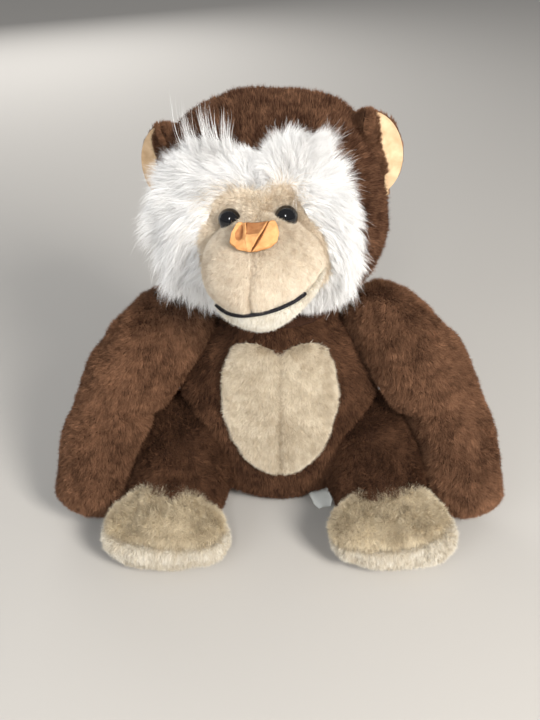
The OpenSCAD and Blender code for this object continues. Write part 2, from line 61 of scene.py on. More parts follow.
def unit(v):
    v = np.asarray(v, float)
    return v / np.maximum(np.linalg.norm(v, axis=-1, keepdims=True), 1e-9)


def hashed(i, j, k, seed):
    h = (i * 73856093) ^ (j * 19349663) ^ (k * 83492791) ^ np.int64(seed * 668265263 + 374761393)
    h = (h ^ (h >> 13)) & np.int64(0xFFFFFFFF)
    h = (h * np.int64(1274126177)) & np.int64(0xFFFFFFFF)
    h = (h ^ (h >> 16)) & np.int64(0xFFFFFFFF)
    return h / float(0xFFFFFFFF)


def noise(P, scale, seed):
    """Smooth value noise from -1 to 1 at points P, with cells of that size."""
    Q = np.asarray(P, float) / scale + 1000.37
    c = np.floor(Q).astype(np.int64)
    f = Q - c
    f = f * f * (3 - 2 * f)
    out = 0
    for dx in (0, 1):
        for dy in (0, 1):
            for dz in (0, 1):
                w = (f[..., 0] if dx else 1 - f[..., 0]) * (f[..., 1] if dy else 1 - f[..., 1]) * (f[..., 2] if dz else 1 - f[..., 2])
                out = out + w * hashed(c[..., 0] + dx, c[..., 1] + dy, c[..., 2] + dz, seed)
    return out * 2 - 1


def bump(x, s):
    return np.exp(-(np.asarray(x, float) / s) ** 2)


def smoothed(table, zs, width):
    """A table of (at, value) read along zs and rounded off over width."""
    t = np.array(table, float)
    k = np.linspace(-1, 1, 13)
    w = np.exp(-3 * k * k)
    w /= w.sum()
    return sum(wi * np.interp(zs + ki * width, t[:, 0], t[:, 1]) for ki, wi in zip(k, w))


# ---------------------------------------------------------------- meshes

def grid_tris(m, n, wrap, flip=False):
    i, j = np.meshgrid(np.arange(m - 1), np.arange(n if wrap else n - 1), indexing="ij")
    h = (j + 1) % n
    a, b, c, d = i * n + j, i * n + h, (i + 1) * n + h, (i + 1) * n + j
    t = np.concatenate([np.stack([a, b, c], -1).reshape(-1, 3), np.stack([a, c, d], -1).reshape(-1, 3)])
    return t[:, ::-1] if flip else t


def normals(V, F):
    fn = np.cross(V[F[:, 1]] - V[F[:, 0]], V[F[:, 2]] - V[F[:, 0]])
    N = np.zeros_like(V)
    for k in range(3):
        np.add.at(N, F[:, k], fn)
    return unit(N)


def outward(V, F):
    """Faces turned so that the surface looks away from its own middle."""
    c = V.mean(0)
    fn = np.cross(V[F[:, 1]] - V[F[:, 0]], V[F[:, 2]] - V[F[:, 0]])
    fc = V[F].mean(1) - c
    return F if (fn * fc).sum() > 0 else F[:, ::-1]


def make(name, V, F, mats, index=None, smooth=True, uv=None):
    me = bpy.data.meshes.new(name)
    V = np.asarray(V, float)
    F = np.asarray(F, np.int64)
    me.vertices.add(len(V))
    me.vertices.foreach_set("co", (V * MM).astype(np.float32).ravel())
    me.loops.add(len(F) * 3)
    me.loops.foreach_set("vertex_index", F.astype(np.int32).ravel())
    me.polygons.add(len(F))
    me.polygons.foreach_set("loop_start", np.arange(0, len(F) * 3, 3, dtype=np.int32))
    me.polygons.foreach_set("use_smooth", np.full(len(F), smooth))
    for m in mats:
        me.materials.append(m)
    if index is not None:
        me.polygons.foreach_set("material_index", index.astype(np.int32))
    if uv is not None:
        layer = me.uv_layers.new(name="OFBake")
        layer.data.foreach_set("uv", np.asarray(uv, np.float32)[F.ravel()].ravel())
    me.update(calc_edges=True)
    o = bpy.data.objects.new(name, me)
    bpy.context.scene.collection.objects.link(o)
    return o


def thick(V, F, t, m, n, wrap):
    """A sheet given a back face t behind it: grid of m rows and n columns."""
    N = normals(V, F)
    B = V - N * t
    k = len(V)
    parts = [F, F[:, ::-1] + k]
    rows = []
    edge = np.arange(n if wrap else n - 1)
    h = (edge + 1) % n
    for r, s in ((0, 1), (m - 1, -1)):
        a, b = r * n + edge, r * n + h
        q = np.concatenate([np.stack([b, a, a + k], -1), np.stack([b, a + k, b + k], -1)])
        rows.append(q if s > 0 else q[:, ::-1])
    if not wrap:
        e = np.arange(m - 1)
        for c, s in ((0, -1), (n - 1, 1)):
            a, b = e * n + c, (e + 1) * n + c
            q = np.concatenate([np.stack([b, a, a + k], -1), np.stack([b, a + k, b + k], -1)])
            rows.append(q if s > 0 else q[:, ::-1])
    return np.concatenate([V, B]), np.concatenate(parts + rows)


# ---------------------------------------------------------------- finishes

def srgb(r, g, b):
    f = lambda c: ((c / 255 + 0.055) / 1.055) ** 2.4 if c > 10 else c / 255 / 12.92
    return (f(r), f(g), f(b), 1.0)


def plain(name, color, rough=0.9, sheen=0.0, coat=0.0, spec=0.3):
    m = bpy.data.materials.new(name)
    m.use_nodes = True
    b = m.node_tree.nodes["Principled BSDF"]
    b.inputs["Base Color"].default_value = color
    b.inputs["Roughness"].default_value = rough
    b.inputs["Specular IOR Level"].default_value = spec
    if sheen:
        b.inputs["Sheen Weight"].default_value = sheen
        b.inputs["Sheen Roughness"].default_value = 0.45
        b.inputs["Sheen Tint"].default_value = color
    if coat:
        b.inputs["Coat Weight"].default_value = coat
        b.inputs["Coat Roughness"].default_value = 0.03
    return m


def mottled(name, c1, c2, scale, rough=0.85, sheen=0.0, bump_at=0, bump_by=0.0, detail=5, stretch=(1, 1, 1)):
    """Two colours mixed by noise, with a fine relief."""
    m = plain(name, c1, rough, sheen)
    nt = m.node_tree
    b = nt.nodes["Principled BSDF"]
    co = nt.nodes.new("ShaderNodeTexCoord")
    mp = nt.nodes.new("ShaderNodeMapping")
    mp.inputs["Scale"].default_value = stretch
    nz = nt.nodes.new("ShaderNodeTexNoise")
    nz.inputs["Scale"].default_value = scale
    nz.inputs["Detail"].default_value = detail
    rp = nt.nodes.new("ShaderNodeValToRGB")
    rp.color_ramp.elements[0].position = 0.32
    rp.color_ramp.elements[1].position = 0.68
    rp.color_ramp.elements[0].color = c1
    rp.color_ramp.elements[1].color = c2
    nt.links.new(co.outputs["Object"], mp.inputs["Vector"])
    nt.links.new(mp.outputs["Vector"], nz.inputs["Vector"])
    nt.links.new(nz.outputs["Fac"], rp.inputs["Fac"])
    nt.links.new(rp.outputs["Color"], b.inputs["Base Color"])
    if bump_by:
        n2 = nt.nodes.new("ShaderNodeTexNoise")
        n2.inputs["Scale"].default_value = bump_at
        n2.inputs["Detail"].default_value = 4
        bp = nt.nodes.new("ShaderNodeBump")
        bp.inputs["Strength"].default_value = bump_by
        bp.inputs["Distance"].default_value = 0.0006
        nt.links.new(co.outputs["Object"], n2.inputs["Vector"])
        nt.links.new(n2.outputs["Fac"], bp.inputs["Height"])
        nt.links.new(bp.outputs["Normal"], b.inputs["Normal"])
    return m


def shades(name, dark, light, n=6, rough=0.9, sheen=0.25):
    """A row of plain pile colours from dark to light."""
    out = []
    for i in range(n):
        t = i / (n - 1)
        c = tuple(dark[k] * (1 - t) + light[k] * t for k in range(3)) + (1.0,)
        out.append(plain(f"{name}_{i}", c, rough, sheen, spec=0.2))
    return out


BROWN_SKIN = plain("brown_backing", srgb(58, 38, 28), 0.95)
CREAM_SKIN = plain("cream_backing", srgb(186, 166, 138), 0.95)
PALE_SKIN = plain("pale_backing", srgb(206, 194, 172), 0.95)
WHITE_SKIN = plain("white_backing", srgb(214, 208, 200), 0.95)
BROWN = shades("brown_pile", srgb(66, 43, 31), srgb(158, 116, 88), 7)
# BROWN_SHADED: the brown plush made darker for the torso and legs, painted shade of the body under the head
BROWN_SHADED = shades("body_pile_painted_shade", srgb(48, 30, 21), srgb(120, 85, 63), 7)
CREAM = shades("cream_pile", srgb(192, 174, 146), srgb(248, 238, 218), 6)
FACE = shades("face_pile", srgb(212, 192, 166), srgb(250, 240, 222), 6)
# FOOT_SHADED: the cream plush made darker for the foot tops, painted shade
FOOT_SHADED = shades("foot_pile_painted_shade", srgb(180, 162, 132), srgb(240, 227, 200), 6)
PALE = shades("pale_pile", srgb(216, 204, 182), srgb(254, 250, 240), 6)
WHITE = shades("white_pile", srgb(226, 223, 220), srgb(255, 255, 254), 7, rough=0.6, sheen=0.35) + shades("brow_pile", srgb(216, 198, 174), srgb(250, 240, 224), 3)


# ---------------------------------------------------------------- pile

COMB = {}


def scatter(V, F, count, seed, mask=None):
    rng = np.random.default_rng(seed)
    fn = np.cross(V[F[:, 1]] - V[F[:, 0]], V[F[:, 2]] - V[F[:, 0]])
    area = np.linalg.norm(fn, axis=1) / 2
    if mask is not None:
        area = area * mask(V[F].mean(1))
    cum = np.cumsum(area)
    f = np.searchsorted(cum, rng.random(count) * cum[-1])
    f = np.minimum(f, len(F) - 1)
    a, b = rng.random(count), rng.random(count)
    sw = a + b > 1
    a[sw], b[sw] = 1 - a[sw], 1 - b[sw]
    T = F[f]
    N = normals(V, F)
    P = V[T[:, 0]] * (1 - a - b)[:, None] + V[T[:, 1]] * a[:, None] + V[T[:, 2]] * b[:, None]
    Q = unit(N[T[:, 0]] * (1 - a - b)[:, None] + N[T[:, 1]] * a[:, None] + N[T[:, 2]] * b[:, None])
    return P, Q, rng


def down(P, N):
    c = np.zeros_like(P)
    c[:, 2] = -1
    return c


def pile(name, V, F, count, length, mats, seed, width=0.42, lean=52, comb=down, clump=3.6, pull=0.6, wild=0.26,
         swirl=0.7, tone=0.0, patch=11.0, mask=None, shade=None):
    """Short plush pile: one tapered blade for each tuft of fibres, lying along the comb."""
    P, N, rng = scatter(V, F, count, seed, mask)
    c = comb(P, N)
    c = unit(c - N * (c * N).sum(1)[:, None] + 1e-5)
    a = noise(P, 24, seed + 1) * swirl + noise(P, 9, seed + 2) * swirl * 0.5
    side = np.cross(N, c)
    c = c * np.cos(a)[:, None] + side * np.sin(a)[:, None]
    th = np.radians(lean + 14 * noise(P, 7, seed + 3) + rng.normal(0, 7, count))
    d = unit(N * np.cos(th)[:, None] + c * np.sin(th)[:, None] + rng.normal(0, wild, (count, 3)))
    L = length * (0.7 + 0.6 * rng.random(count)) * (1 + 0.2 * noise(P, 6, seed + 4))
    tip = P + d * L[:, None]
    key = np.floor(P / clump + 0.4 * noise(P, clump * 2, seed + 5)[:, None]).astype(np.int64)
    jit = np.stack([hashed(key[:, 0], key[:, 1], key[:, 2], seed + 6 + q) for q in range(3)], -1)
    off = (key + 0.2 + 0.6 * jit) * clump - P
    off = off - N * (off * N).sum(1)[:, None]
    tip = tip + off * pull * np.minimum(1, L / length)[:, None] * 0.8
    below = ((tip - P) * N).sum(1)
    tip = tip + N * np.maximum(0, 0.5 - below)[:, None]
    w = unit(np.cross(N, tip - P))
    r = rng.normal(0, 0.55, count)
    w = w * np.cos(r)[:, None] + np.cross(unit(tip - P), w) * np.sin(r)[:, None]
    W = (width * (0.7 + 0.6 * rng.random(count)) / 2)[:, None]
    R = P - N * 0.35
    verts = np.stack([R - w * W, R + w * W, tip], 1).reshape(-1, 3)
    verts[:, 2] = np.maximum(verts[:, 2], 0.15)
    tris = np.arange(count * 3).reshape(-1, 3)
    fn = np.cross(verts[1::3] - verts[0::3], verts[2::3] - verts[0::3])
    flip = (fn * N).sum(1) < 0
    tris[flip] = tris[flip][:, ::-1]
    ch = hashed(key[:, 0], key[:, 1], key[:, 2], seed + 9)
    v = 0.5 + tone + 0.15 * noise(P, patch, seed + 7) + 0.12 * noise(P, 3.5, seed + 8) + 0.26 * (ch - 0.5) + 0.42 * (rng.random(count) - 0.5)
    # painted shade along seams, and for the feet random tone, is added here
    if shade is not None:
        v = v + shade(P)
    idx = np.clip((v * len(mats)).astype(int), 0, len(mats) - 1)
    return make(name, verts, tris, mats, idx, smooth=False)


# ---------------------------------------------------------------- the body's layout, as in the frame

SHOULDER, HIP, ANKLE, NECK = V3(62, 6, 128), V3(60, -2, 40), V3(66, -56, 25), V3(0, 3, 124)
ELBOW = {1: V3(104, -9, 76), -1: V3(-102.5, -8, 77)}
TIP = {1: V3(121, -38, 25.6), -1: V3(-121.5, -35, 25.6)}
SIDE = {1: "left", -1: "right"}


def side(v, s):
    return V3(s * v[0], v[1], v[2])


def bez(a, c, b, t):
    t = np.asarray(t, float)[:, None]
    return (1 - t) ** 2 * a + 2 * t * (1 - t) * c + t * t * b


def tube(C, RA, RB, up, n, phase=0.0):
    """Rings round a line of centres, with half widths RA and half heights RB."""
    D = unit(np.gradient(C, axis=0))
    U = unit(np.cross(D, np.broadcast_to(up, D.shape)))
    W = np.cross(U, D)
    a = np.arange(n) * 2 * np.pi / n + phase
    return C[:, None] + RA[:, None, None] * np.cos(a)[None, :, None] * U[:, None] + RB[:, None, None] * np.sin(a)[None, :, None] * W[:, None]


def closed(G, p0=None, p1=None):
    """Vertices and faces of a ring grid, with an end point at either end where given."""
    m, n = G.shape[:2]
    V = G.reshape(-1, 3)
    F = [grid_tris(m, n, True)]
    j = np.arange(n)
    h = (j + 1) % n
    if p0 is not None:
        F.append(np.stack([np.full(n, len(V)), h, j], -1))
        V = np.vstack([V, p0])
    if p1 is not None:
        F.append(np.stack([np.full(n, len(V)), (m - 1) * n + j, (m - 1) * n + h], -1))
        V = np.vstack([V, p1])
    F = np.concatenate(F)
    return V, outward(V, F)


def arm_skin(s):
    e, p, sh = ELBOW[s], TIP[s], side(SHOULDER, s)
    m = unit(V3(0.44 * s, -0.25, -0.86))
    up = bez(sh, e - m * 30, e, np.linspace(0, 1, 30))
    lo = bez(e, e + m * 32, p, np.linspace(0, 1, 26))[1:]
    d0, d1 = unit(up[1] - up[0]), unit(lo[-1] - lo[-2])
    C = np.vstack([up, lo, p + d1 * 6])
    for _ in range(6):
        C[1:-1] = 0.25 * C[:-2] + 0.5 * C[1:-1] + 0.25 * C[2:]
    seg = np.concatenate([[0], np.cumsum(np.linalg.norm(np.diff(C, axis=0), axis=1))])
    u = np.linspace(0, seg[-1], 90)
    C = np.stack([np.interp(u, seg, C[:, k]) for k in range(3)], -1)
    t = u / u[-1]
    r = smoothed([(0, 21.6), (0.12, 25.0), (0.26, 27.5), (0.38, 26.8), (0.5, 24.4), (0.58, 23.4), (0.72, 24.6), (0.86, 24.2), (1, 21.4)], t, 0.05)
    # rounded ends
    a0 = np.radians([12, 27, 42, 56, 69, 80])
    rt = [sh - d0 * 20.4 * math.cos(a) for a in a0]
    rr = [20.4 * math.sin(a) for a in a0]
    a1 = np.radians([80, 68, 55, 41, 27, 13])
    L1 = 13.5
    tt = [C[-1] + d1 * L1 * math.cos(a) for a in a1]
    tr = [r[-1] * math.sin(a) for a in a1]
    C2 = np.vstack([rt, C, tt])
    r2 = np.concatenate([rr, r, tr])
    G = tube(C2, r2, r2, V3(0, -1, 0.02), 72)
    V, F = closed(G, sh - d0 * 20.4, C[-1] + d1 * L1)
    # inner elbow crease, a softer one behind the shoulder, and lumps of filling
    n = normals(V, F)
    rel = V - e
    along = rel @ m
    inner = unit(V3(-s * 0.9, -0.42, 0.1))
    k = np.clip(n @ inner, 0, 1) ** 1.2
    V = V - n * (3.6 * bump(along - 1, 4.5) * k)[:, None] + n * (0.7 * (bump(along - 11, 6) + bump(along + 10, 6)) * k)[:, None]
    V = V + n * (1.5 * noise(V, 21, 31 + s) + 0.8 * noise(V, 9, 33 + s))[:, None]
    # a fold running down the outer side from the shoulder
    V = V - n * (1.5 * bump(noise(V * V3(1, 1, 0.35), 20, 37 + s), 0.14))[:, None] * bump(np.linalg.norm(V - sh, axis=1) - 34, 20)[:, None]
    V[:, 2] = np.where(V[:, 2] < 2, 0.7 + 0.35 * np.maximum(V[:, 2], 0), V[:, 2])
    return V, F, e, m


def leg_skin(s):
    h, a = side(HIP, s), side(ANKLE, s)
    d = unit(a - h)
    L = np.linalg.norm(a - h)
    u = np.linspace(0, L + 3, 50)
    C = h + d * u[:, None]
    ra = smoothed([(0, 28.5), (9, 30.4), (20, 31.4), (32, 31.2), (46, 29.8), (56, 27.4), (64, 25)], u, 6)
    rb = smoothed([(0, 28.5), (9, 30), (20, 30.6), (32, 29.4), (46, 26.6), (56, 22.6), (64, 19)], u, 6)
    a0 = np.radians([12, 27, 42, 56, 69, 80])
    C2 = np.vstack([[h - d * 28 * math.cos(q) for q in a0], C, [C[-1] + d * 9 * math.cos(q) for q in a0[::-1]]])
    A2 = np.concatenate([28.5 * np.sin(a0), ra, ra[-1] * np.sin(a0[::-1])])
    B2 = np.concatenate([28.5 * np.sin(a0), rb, rb[-1] * np.sin(a0[::-1])])
    G = tube(C2, A2, B2, V3(0, 0, 1), 84)
    V, F = closed(G, h - d * 28, C[-1] + d * 9)
    n = normals(V, F)
    V = V + n * (1.6 * noise(V, 22, 51 + s) + 0.9 * noise(V, 9, 53 + s))[:, None]
    along = (V - h) @ d
    fold = noise(V * V3(1, 0.25, 1), 12, 55 + s)
    V = V - n * (1.6 * bump(fold, 0.16) * np.clip((along - 26) / 18, 0, 1))[:, None]
    V[:, 2] = np.where(V[:, 2] < 2, 0.6 + 0.35 * np.maximum(V[:, 2], 0), V[:, 2])
    return V, F, h, a, d


TORSO_W = [(0, 31.5), (6, 40), (12, 45), (24, 51), (36, 55), (50, 58.5), (64, 61.5), (78, 62.5), (90, 61), (102, 53.5), (112, 45.5), (120, 39.5), (125, 36)]
TORSO_D = [(0, 31.5), (6, 36), (12, 38.5), (24, 42), (36, 43.5), (50, 44), (64, 42.5), (78, 40.5), (90, 38.5), (102, 36.5), (112, 35.4), (120, 34.8), (125, 34.2)]
TORSO_C = [(0, 13.5), (6, 10), (12, 8), (24, 5.8), (36, 5), (50, 4.6), (64, 4.5), (78, 5), (90, 5.5), (102, 5.5), (112, 4.8), (120, 3.6), (125, 3)]


def torso_grid(n=150):
    z = np.concatenate([[0.5, 1.4, 3, 5], np.linspace(7.5, 124, 66)])
    w, d, c = (smoothed(t, z, 5) for t in (TORSO_W, TORSO_D, TORSO_C))
    a = -np.arange(n) * 2 * np.pi / n
    G = np.stack([w[:, None] * np.cos(a), c[:, None] + d[:, None] * np.sin(a), np.broadcast_to(z[:, None], (len(z), n))], -1)
    q = np.radians(np.linspace(86, 6, 16))
    D = np.stack([NECK[0] + 34 * np.sin(q)[:, None] * np.cos(a), NECK[1] + 34 * np.sin(q)[:, None] * np.sin(a),
                  np.broadcast_to((NECK[2] + 34 * np.cos(q))[:, None], (16, n))], -1)
    return np.concatenate([G, D]), NECK + V3(0, 0, 34)


def torso_skin():
    G, top = torso_grid()
    V, F = closed(G, V3(0, 13.5, 0.5), top)
    n = normals(V, F)
    low = np.clip((V[:, 2] - 4) / 10, 0, 1)
    V = V + n * ((1.3 * noise(V, 26, 11) + 0.7 * noise(V, 11, 12)) * low)[:, None]
    for s in (1, -1):
        # the cloth is drawn out to each limb's seam
        q = side(SHOULDER, s)
        r = np.linalg.norm(V - q, axis=1)
        V = V + (q - V) * (0.20 * np.clip(1 - (r - 20) / 20, 0, 1) ** 2)[:, None]
        q = side(HIP, s)
        r = np.linalg.norm(V - q, axis=1)
        V = V - n * (2.6 * bump(r - 31, 3.5) * low)[:, None] + n * (1.6 * bump(r - 42, 6) * low)[:, None]
    V[:, 2] = np.maximum(V[:, 2], 0.5)
    return V, F


def belly_y(x, z):
    w, d, c = (smoothed(t, z, 5) for t in (TORSO_W, TORSO_D, TORSO_C))
    return c - d * np.sqrt(np.maximum(0.02, 1 - (x / w) ** 2))


PATCH_HI = [(0, 121), (2.5, 123.4), (5, 126.6), (12, 129), (18, 128.4), (25, 123.8), (29.5, 115), (32.3, 101), (33.3, 91)]
PATCH_LO = [(0, 39.5), (6, 40.4), (12, 43), (18, 48), (25, 58), (29.5, 69), (32.3, 83), (33.3, 91)]


def patch_skin(s):
    m, n = 60, 30
    x = 33 * (np.linspace(0, 1, n) ** 0.85) + 0.2
    lo, hi = smoothed(PATCH_LO, x, 2.5), smoothed(PATCH_HI, x, 2.5)
    t = np.linspace(0, 1, m)[:, None]
    Z = lo + (hi - lo) * t
    X = np.broadcast_to(x, Z.shape)
    edge = np.minimum(np.minimum(t, 1 - t) * (hi - lo), (33.3 - X) * 1.0)
    lift = 1.2 + 2.2 * np.clip(edge / 3.2, 0, 1) ** 0.6
    seam = bump(X, 1.9)
    Y = belly_y(X.ravel(), np.minimum(Z, 125).ravel()).reshape(Z.shape)
    P = np.stack([s * X, Y, Z], -1).reshape(-1, 3)
    nx = (s * X / 50).ravel()
    N = unit(np.stack([nx, -np.ones_like(nx), 0.1 + 0 * nx], -1))
    lum = 0.8 * noise(P, 16, 71) + 0.5 * noise(P, 7, 72)
    P = P + N * (lift.ravel() - 2.2 * seam.ravel() + lum)[:, None]
    F = grid_tris(m, n, False)
    fn = np.cross(P[F[:, 1]] - P[F[:, 0]], P[F[:, 2]] - P[F[:, 0]])
    if fn[:, 1].sum() > 0:
        F = F[:, ::-1]
    return P, F, m, n


# ---------------------------------------------------------------- head

def rot(axis, deg):
    c, s = math.cos(math.radians(deg)), math.sin(math.radians(deg))
    return {"x": np.array([[1, 0, 0], [0, c, -s], [0, s, c]]), "y": np.array([[c, 0, s], [0, 1, 0], [-s, 0, c]]),
            "z": np.array([[c, -s, 0], [s, c, 0], [0, 0, 1]])}[axis]


HEAD_R = rot("x", -16) @ rot("y", -4) @ rot("z", -8)
HEAD_AT = V3(-4, 8, 199)
RX, RY, RZ, RT, PW = 65.0, 54.0, 56.0, 67.0, 2.5
MUZ_AT, MX, MY, MZ = V3(0, -52, -24), 33.0, 27.0, 31.0


def world(P):
    return np.asarray(P) @ HEAD_R.T + HEAD_AT


def head_pt(u, a, k=0.0):
    """u from the face's middle and a round it, in degrees."""
    u, a = np.radians(u), np.radians(a)
    f = (np.abs(np.cos(a)) ** PW + np.abs(np.sin(a)) ** PW) ** (-1 / PW)
    h = np.where(np.sin(a) > 0, RT, RZ)
    return np.stack([(RX + k) * np.sin(u) * np.cos(a) * f, -(RY + k) * np.cos(u) + 0 * a, (h + k) * np.sin(u) * np.sin(a) * f], -1)


def head_y(x, z, k=0.0):
    h = np.where(z > 0, RT, RZ)
    q = ((np.abs(x) / (RX + k)) ** PW + (np.abs(z) / (h + k)) ** PW) ** (2 / PW)
    return -(RY + k) * np.sqrt(np.maximum(0.02, 1 - q))


FACE_EDGE = [(-90, 60), (-60, 54), (-45, 46), (-30, 37), (0, 26), (30, 22), (60, 17), (90, 13), (120, 16), (150, 24), (180, 30), (210, 38), (240, 54), (270, 60)]
RUFF_EDGE = [(-90, 68), (-60, 64), (-30, 45), (0, 37.5), (30, 35.5), (56, 37), (68, 34), (80, 27), (90, 28), (104, 31), (122, 37), (150, 47), (180, 56), (210, 62), (240, 66), (270, 68)]
PILE_LONG = [(-90, 6), (-70, 10), (-50, 15), (-25, 17), (0, 16), (30, 17), (55, 19), (70, 15), (80, 8), (92, 8.5), (105, 10), (130, 14), (160, 20), (190, 23), (215, 21), (235, 15), (252, 8), (270, 6)]


def edge(table, a):
    return smoothed(table, np.where(a > 270, a - 360, a), 9)


def face_relief(x, z):
    """Brow, eye hollows and the creases beside them, outwards from the head, in millimetres."""
    r = 2.6 * bump(x / 26, 1) * bump((z - 17) / 7.5, 1)
    for s in (-1, 1):
        r = r - 3.4 * np.exp(-(((x - 16 * s) / 7.5) ** 2 + ((z - 4.2) / 6.5) ** 2))
        r = r - 2.6 * np.exp(-(((x - 27.5 * s) / 5.0) ** 2 + ((z - 5 + 0.25 * (x * s - 27)) / 3.4) ** 2))
        r = r + 1.4 * np.exp(-(((x - 30 * s) / 6) ** 2 + ((z + 4) / 5) ** 2))
    return r


def face_skin():
    n, m = 120, 44
    a = np.arange(n) * 360.0 / n
    e = edge(FACE_EDGE, a) + 1.5
    t = np.linspace(1, 0.03, m)
    P = np.stack([head_pt(e * ti, a, 0.2) for ti in t])
    y0 = head_pt(np.zeros(1), np.zeros(1), 0.2)[0]
    V, F = closed(P, None, y0)
    r = face_relief(V[:, 0], V[:, 2])
    V[:, 1] -= r
    fn = np.cross(V[F[:, 1]] - V[F[:, 0]], V[F[:, 2]] - V[F[:, 0]])
    if fn[:, 1].sum() > 0:
        F = F[:, ::-1]
    return V, F


def crown_skin():
    n, m = 170, 84
    a = np.arange(n) * 360.0 / n
    e = edge(RUFF_EDGE, a) - 3
    t = np.linspace(0, 1, m)[:-1]
    P = np.stack([head_pt(e + (178 - e) * ti, a, 0.3) for ti in t])
    V, F = closed(P, None, V3(0, RY + 0.3, 0))
    n_ = normals(V, F)
    V = V + n_ * (1.5 * noise(V, 27, 81) + 0.8 * noise(V, 11, 82))[:, None]
    # the crown's two side seams and the one over the top
    for s in (-1, 1):
        V = V - n_ * (1.1 * bump(V[:, 0] - 24 * s, 1.3) * np.clip(V[:, 2] / 30, 0, 1))[:, None]
    return V, F


def ruff_skin(pad=0.0):
    n, m = 150, 26
    a = np.arange(n) * 360.0 / n
    e0, e1 = edge(FACE_EDGE, a) + 0.5, edge(RUFF_EDGE, a)
    t = np.linspace(0, 1, m)
    P = np.stack([head_pt(e0 + (e1 - e0) * ti, a, 0.7 + 1.3 * math.sin(math.pi * ti) + pad) for ti in t])
    V, F = closed(P)
    fn = np.cross(V[F[:, 1]] - V[F[:, 0]], V[F[:, 2]] - V[F[:, 0]])
    if (fn * V[F].mean(1)).sum() < 0:
        F = F[:, ::-1]
    return V, F, m, n


def muz(v, h, k=0.0, c=0.6):
    h = h - 12.0 * np.clip((20.0 - v) / 60, 0, 1) * (1 + np.cos(np.radians(h))) / 2
    k = k - 1.6 * np.clip(np.asarray(v, float) / 40, 0, 1)
    v, h = np.radians(v), np.radians(h)
    p = MUZ_AT + np.stack([(MX + k) * np.cos(v) * np.sin(h), -(MY + k) * np.cos(v) * np.cos(h), (MZ + k) * np.sin(v) + 0 * h], -1)
    p[..., 1] = np.minimum(p[..., 1], head_y(p[..., 0], p[..., 2]) - c)
    return p


MOUTH = [(0, -42), (15, -41.4), (30, -39), (45, -34), (60, -26), (75, -14)]


def mouth_v(h):
    return smoothed(MOUTH, np.abs(h), 5) + np.where(h > 0, 0.13, -0.17) * np.abs(h)


def muzzle_skin(s):
    m, n = 60, 44
    h = np.concatenate([np.linspace(0.3, 6, 8), np.linspace(8, 88, n - 12), [91, 94, 97, 100]])
    v0 = mouth_v(np.minimum(h, 75) * s) + 1.2
    t = np.linspace(0, 1, m)[:, None]
    Vv = v0 + (81 - v0) * t
    P = muz(Vv, np.broadcast_to(h * s, Vv.shape), 0.0, 0.5)
    # back edge sinks into the face
    back = np.clip((h - 86) / 14, 0, 1)
    P[..., 1] = P[..., 1] * (1 - back) + (head_y(P[..., 0], P[..., 2]) + 1.5) * back
    P = P.reshape(-1, 3)
    F = grid_tris(m, n, False)
    fn = np.cross(P[F[:, 1]] - P[F[:, 0]], P[F[:, 2]] - P[F[:, 0]])
    if (fn * (P[F].mean(1) - MUZ_AT)).sum() < 0:
        F = F[:, ::-1]
    N = normals(P, F)
    x = np.tile(h, m) * 0.5
    V = P - N * (1.5 * bump(x, 1.6))[:, None] + N * (0.9 * noise(P, 15, 91) + 0.4 * noise(P, 6, 92))[:, None] * np.clip(np.abs(x) / 4, 0, 1)[:, None]
    rows = np.repeat(np.arange(m), n)
    lip = np.clip(1 - rows / 5.0, 0, 1)
    V = V - N * (1.6 * lip ** 2)[:, None]
    return V, F, m, n


def seam_shade(P):
    """Painted shade: the pile darkened along the muzzle's middle seam, in its groove."""
    Q = (P - HEAD_AT) @ HEAD_R
    v = np.linspace(-45, 60, 60)
    L = muz(v, 0 * v, 0, 0.5)
    x = np.interp(Q[:, 2], L[:, 2], L[:, 0])
    return -0.30 * bump(Q[:, 0] - x, 1.3)


def lip_skin():
    m, n = 26, 90
    h = np.linspace(-80, 80, n)
    v1 = mouth_v(h) - 1.0
    v0 = np.maximum(-84, v1 - 1.5 - 41 * np.clip((81 - np.abs(h + 1)) / 44, 0, 1) ** 0.8)
    t = np.linspace(0, 1, m)[:, None]
    Vv = v0 + (v1 - v0) * t
    P = muz(Vv, np.broadcast_to(h, Vv.shape), np.broadcast_to(0.5 - 0.8 * np.clip((np.abs(h) - 62) / 18, 0, 1), Vv.shape), 0.5)
    P[..., 2] -= 2.0 * np.clip((66 - np.abs(h + 6)) / 26, 0, 1) * np.clip((1 - t) * 1.5, 0, 1) ** 0.7
    # lower edge and both ends sink into the face
    b = np.clip(1 - t * 5, 0, 1) ** 1.2 * (0.7 + 0.3 * np.clip((np.abs(h) - 25) / 25, 0, 1))
    b = np.maximum(b, np.clip((np.abs(h) - 66) / 14, 0, 1) ** 1.3)
    hy = head_y(P[..., 0], P[..., 2]) + 1.5
    P[..., 1] = P[..., 1] * (1 - b) + hy * b
    P = P.reshape(-1, 3)
    F = grid_tris(m, n, False)
    fn = np.cross(P[F[:, 1]] - P[F[:, 0]], P[F[:, 2]] - P[F[:, 0]])
    if (fn * (P[F].mean(1) - MUZ_AT)).sum() < 0:
        F = F[:, ::-1]
    N = normals(P, F)
    tt = np.repeat(np.linspace(0, 1, m), n)
    V = P - N * (1.5 * bump((1 - tt) / 0.08, 1))[:, None] + N * (0.9 * bump((tt - 0.72) / 0.2, 1))[:, None]
    return V, F, m, n


def rope(points, r, n=12):
    P = np.asarray(points, float)
    G = tube(P, np.full(len(P), r), np.full(len(P), r), V3(0, 0, 1), n)
    return closed(G, P[0] - unit(P[1] - P[0]) * r * 0.6, P[-1] + unit(P[-1] - P[-2]) * r * 0.6)


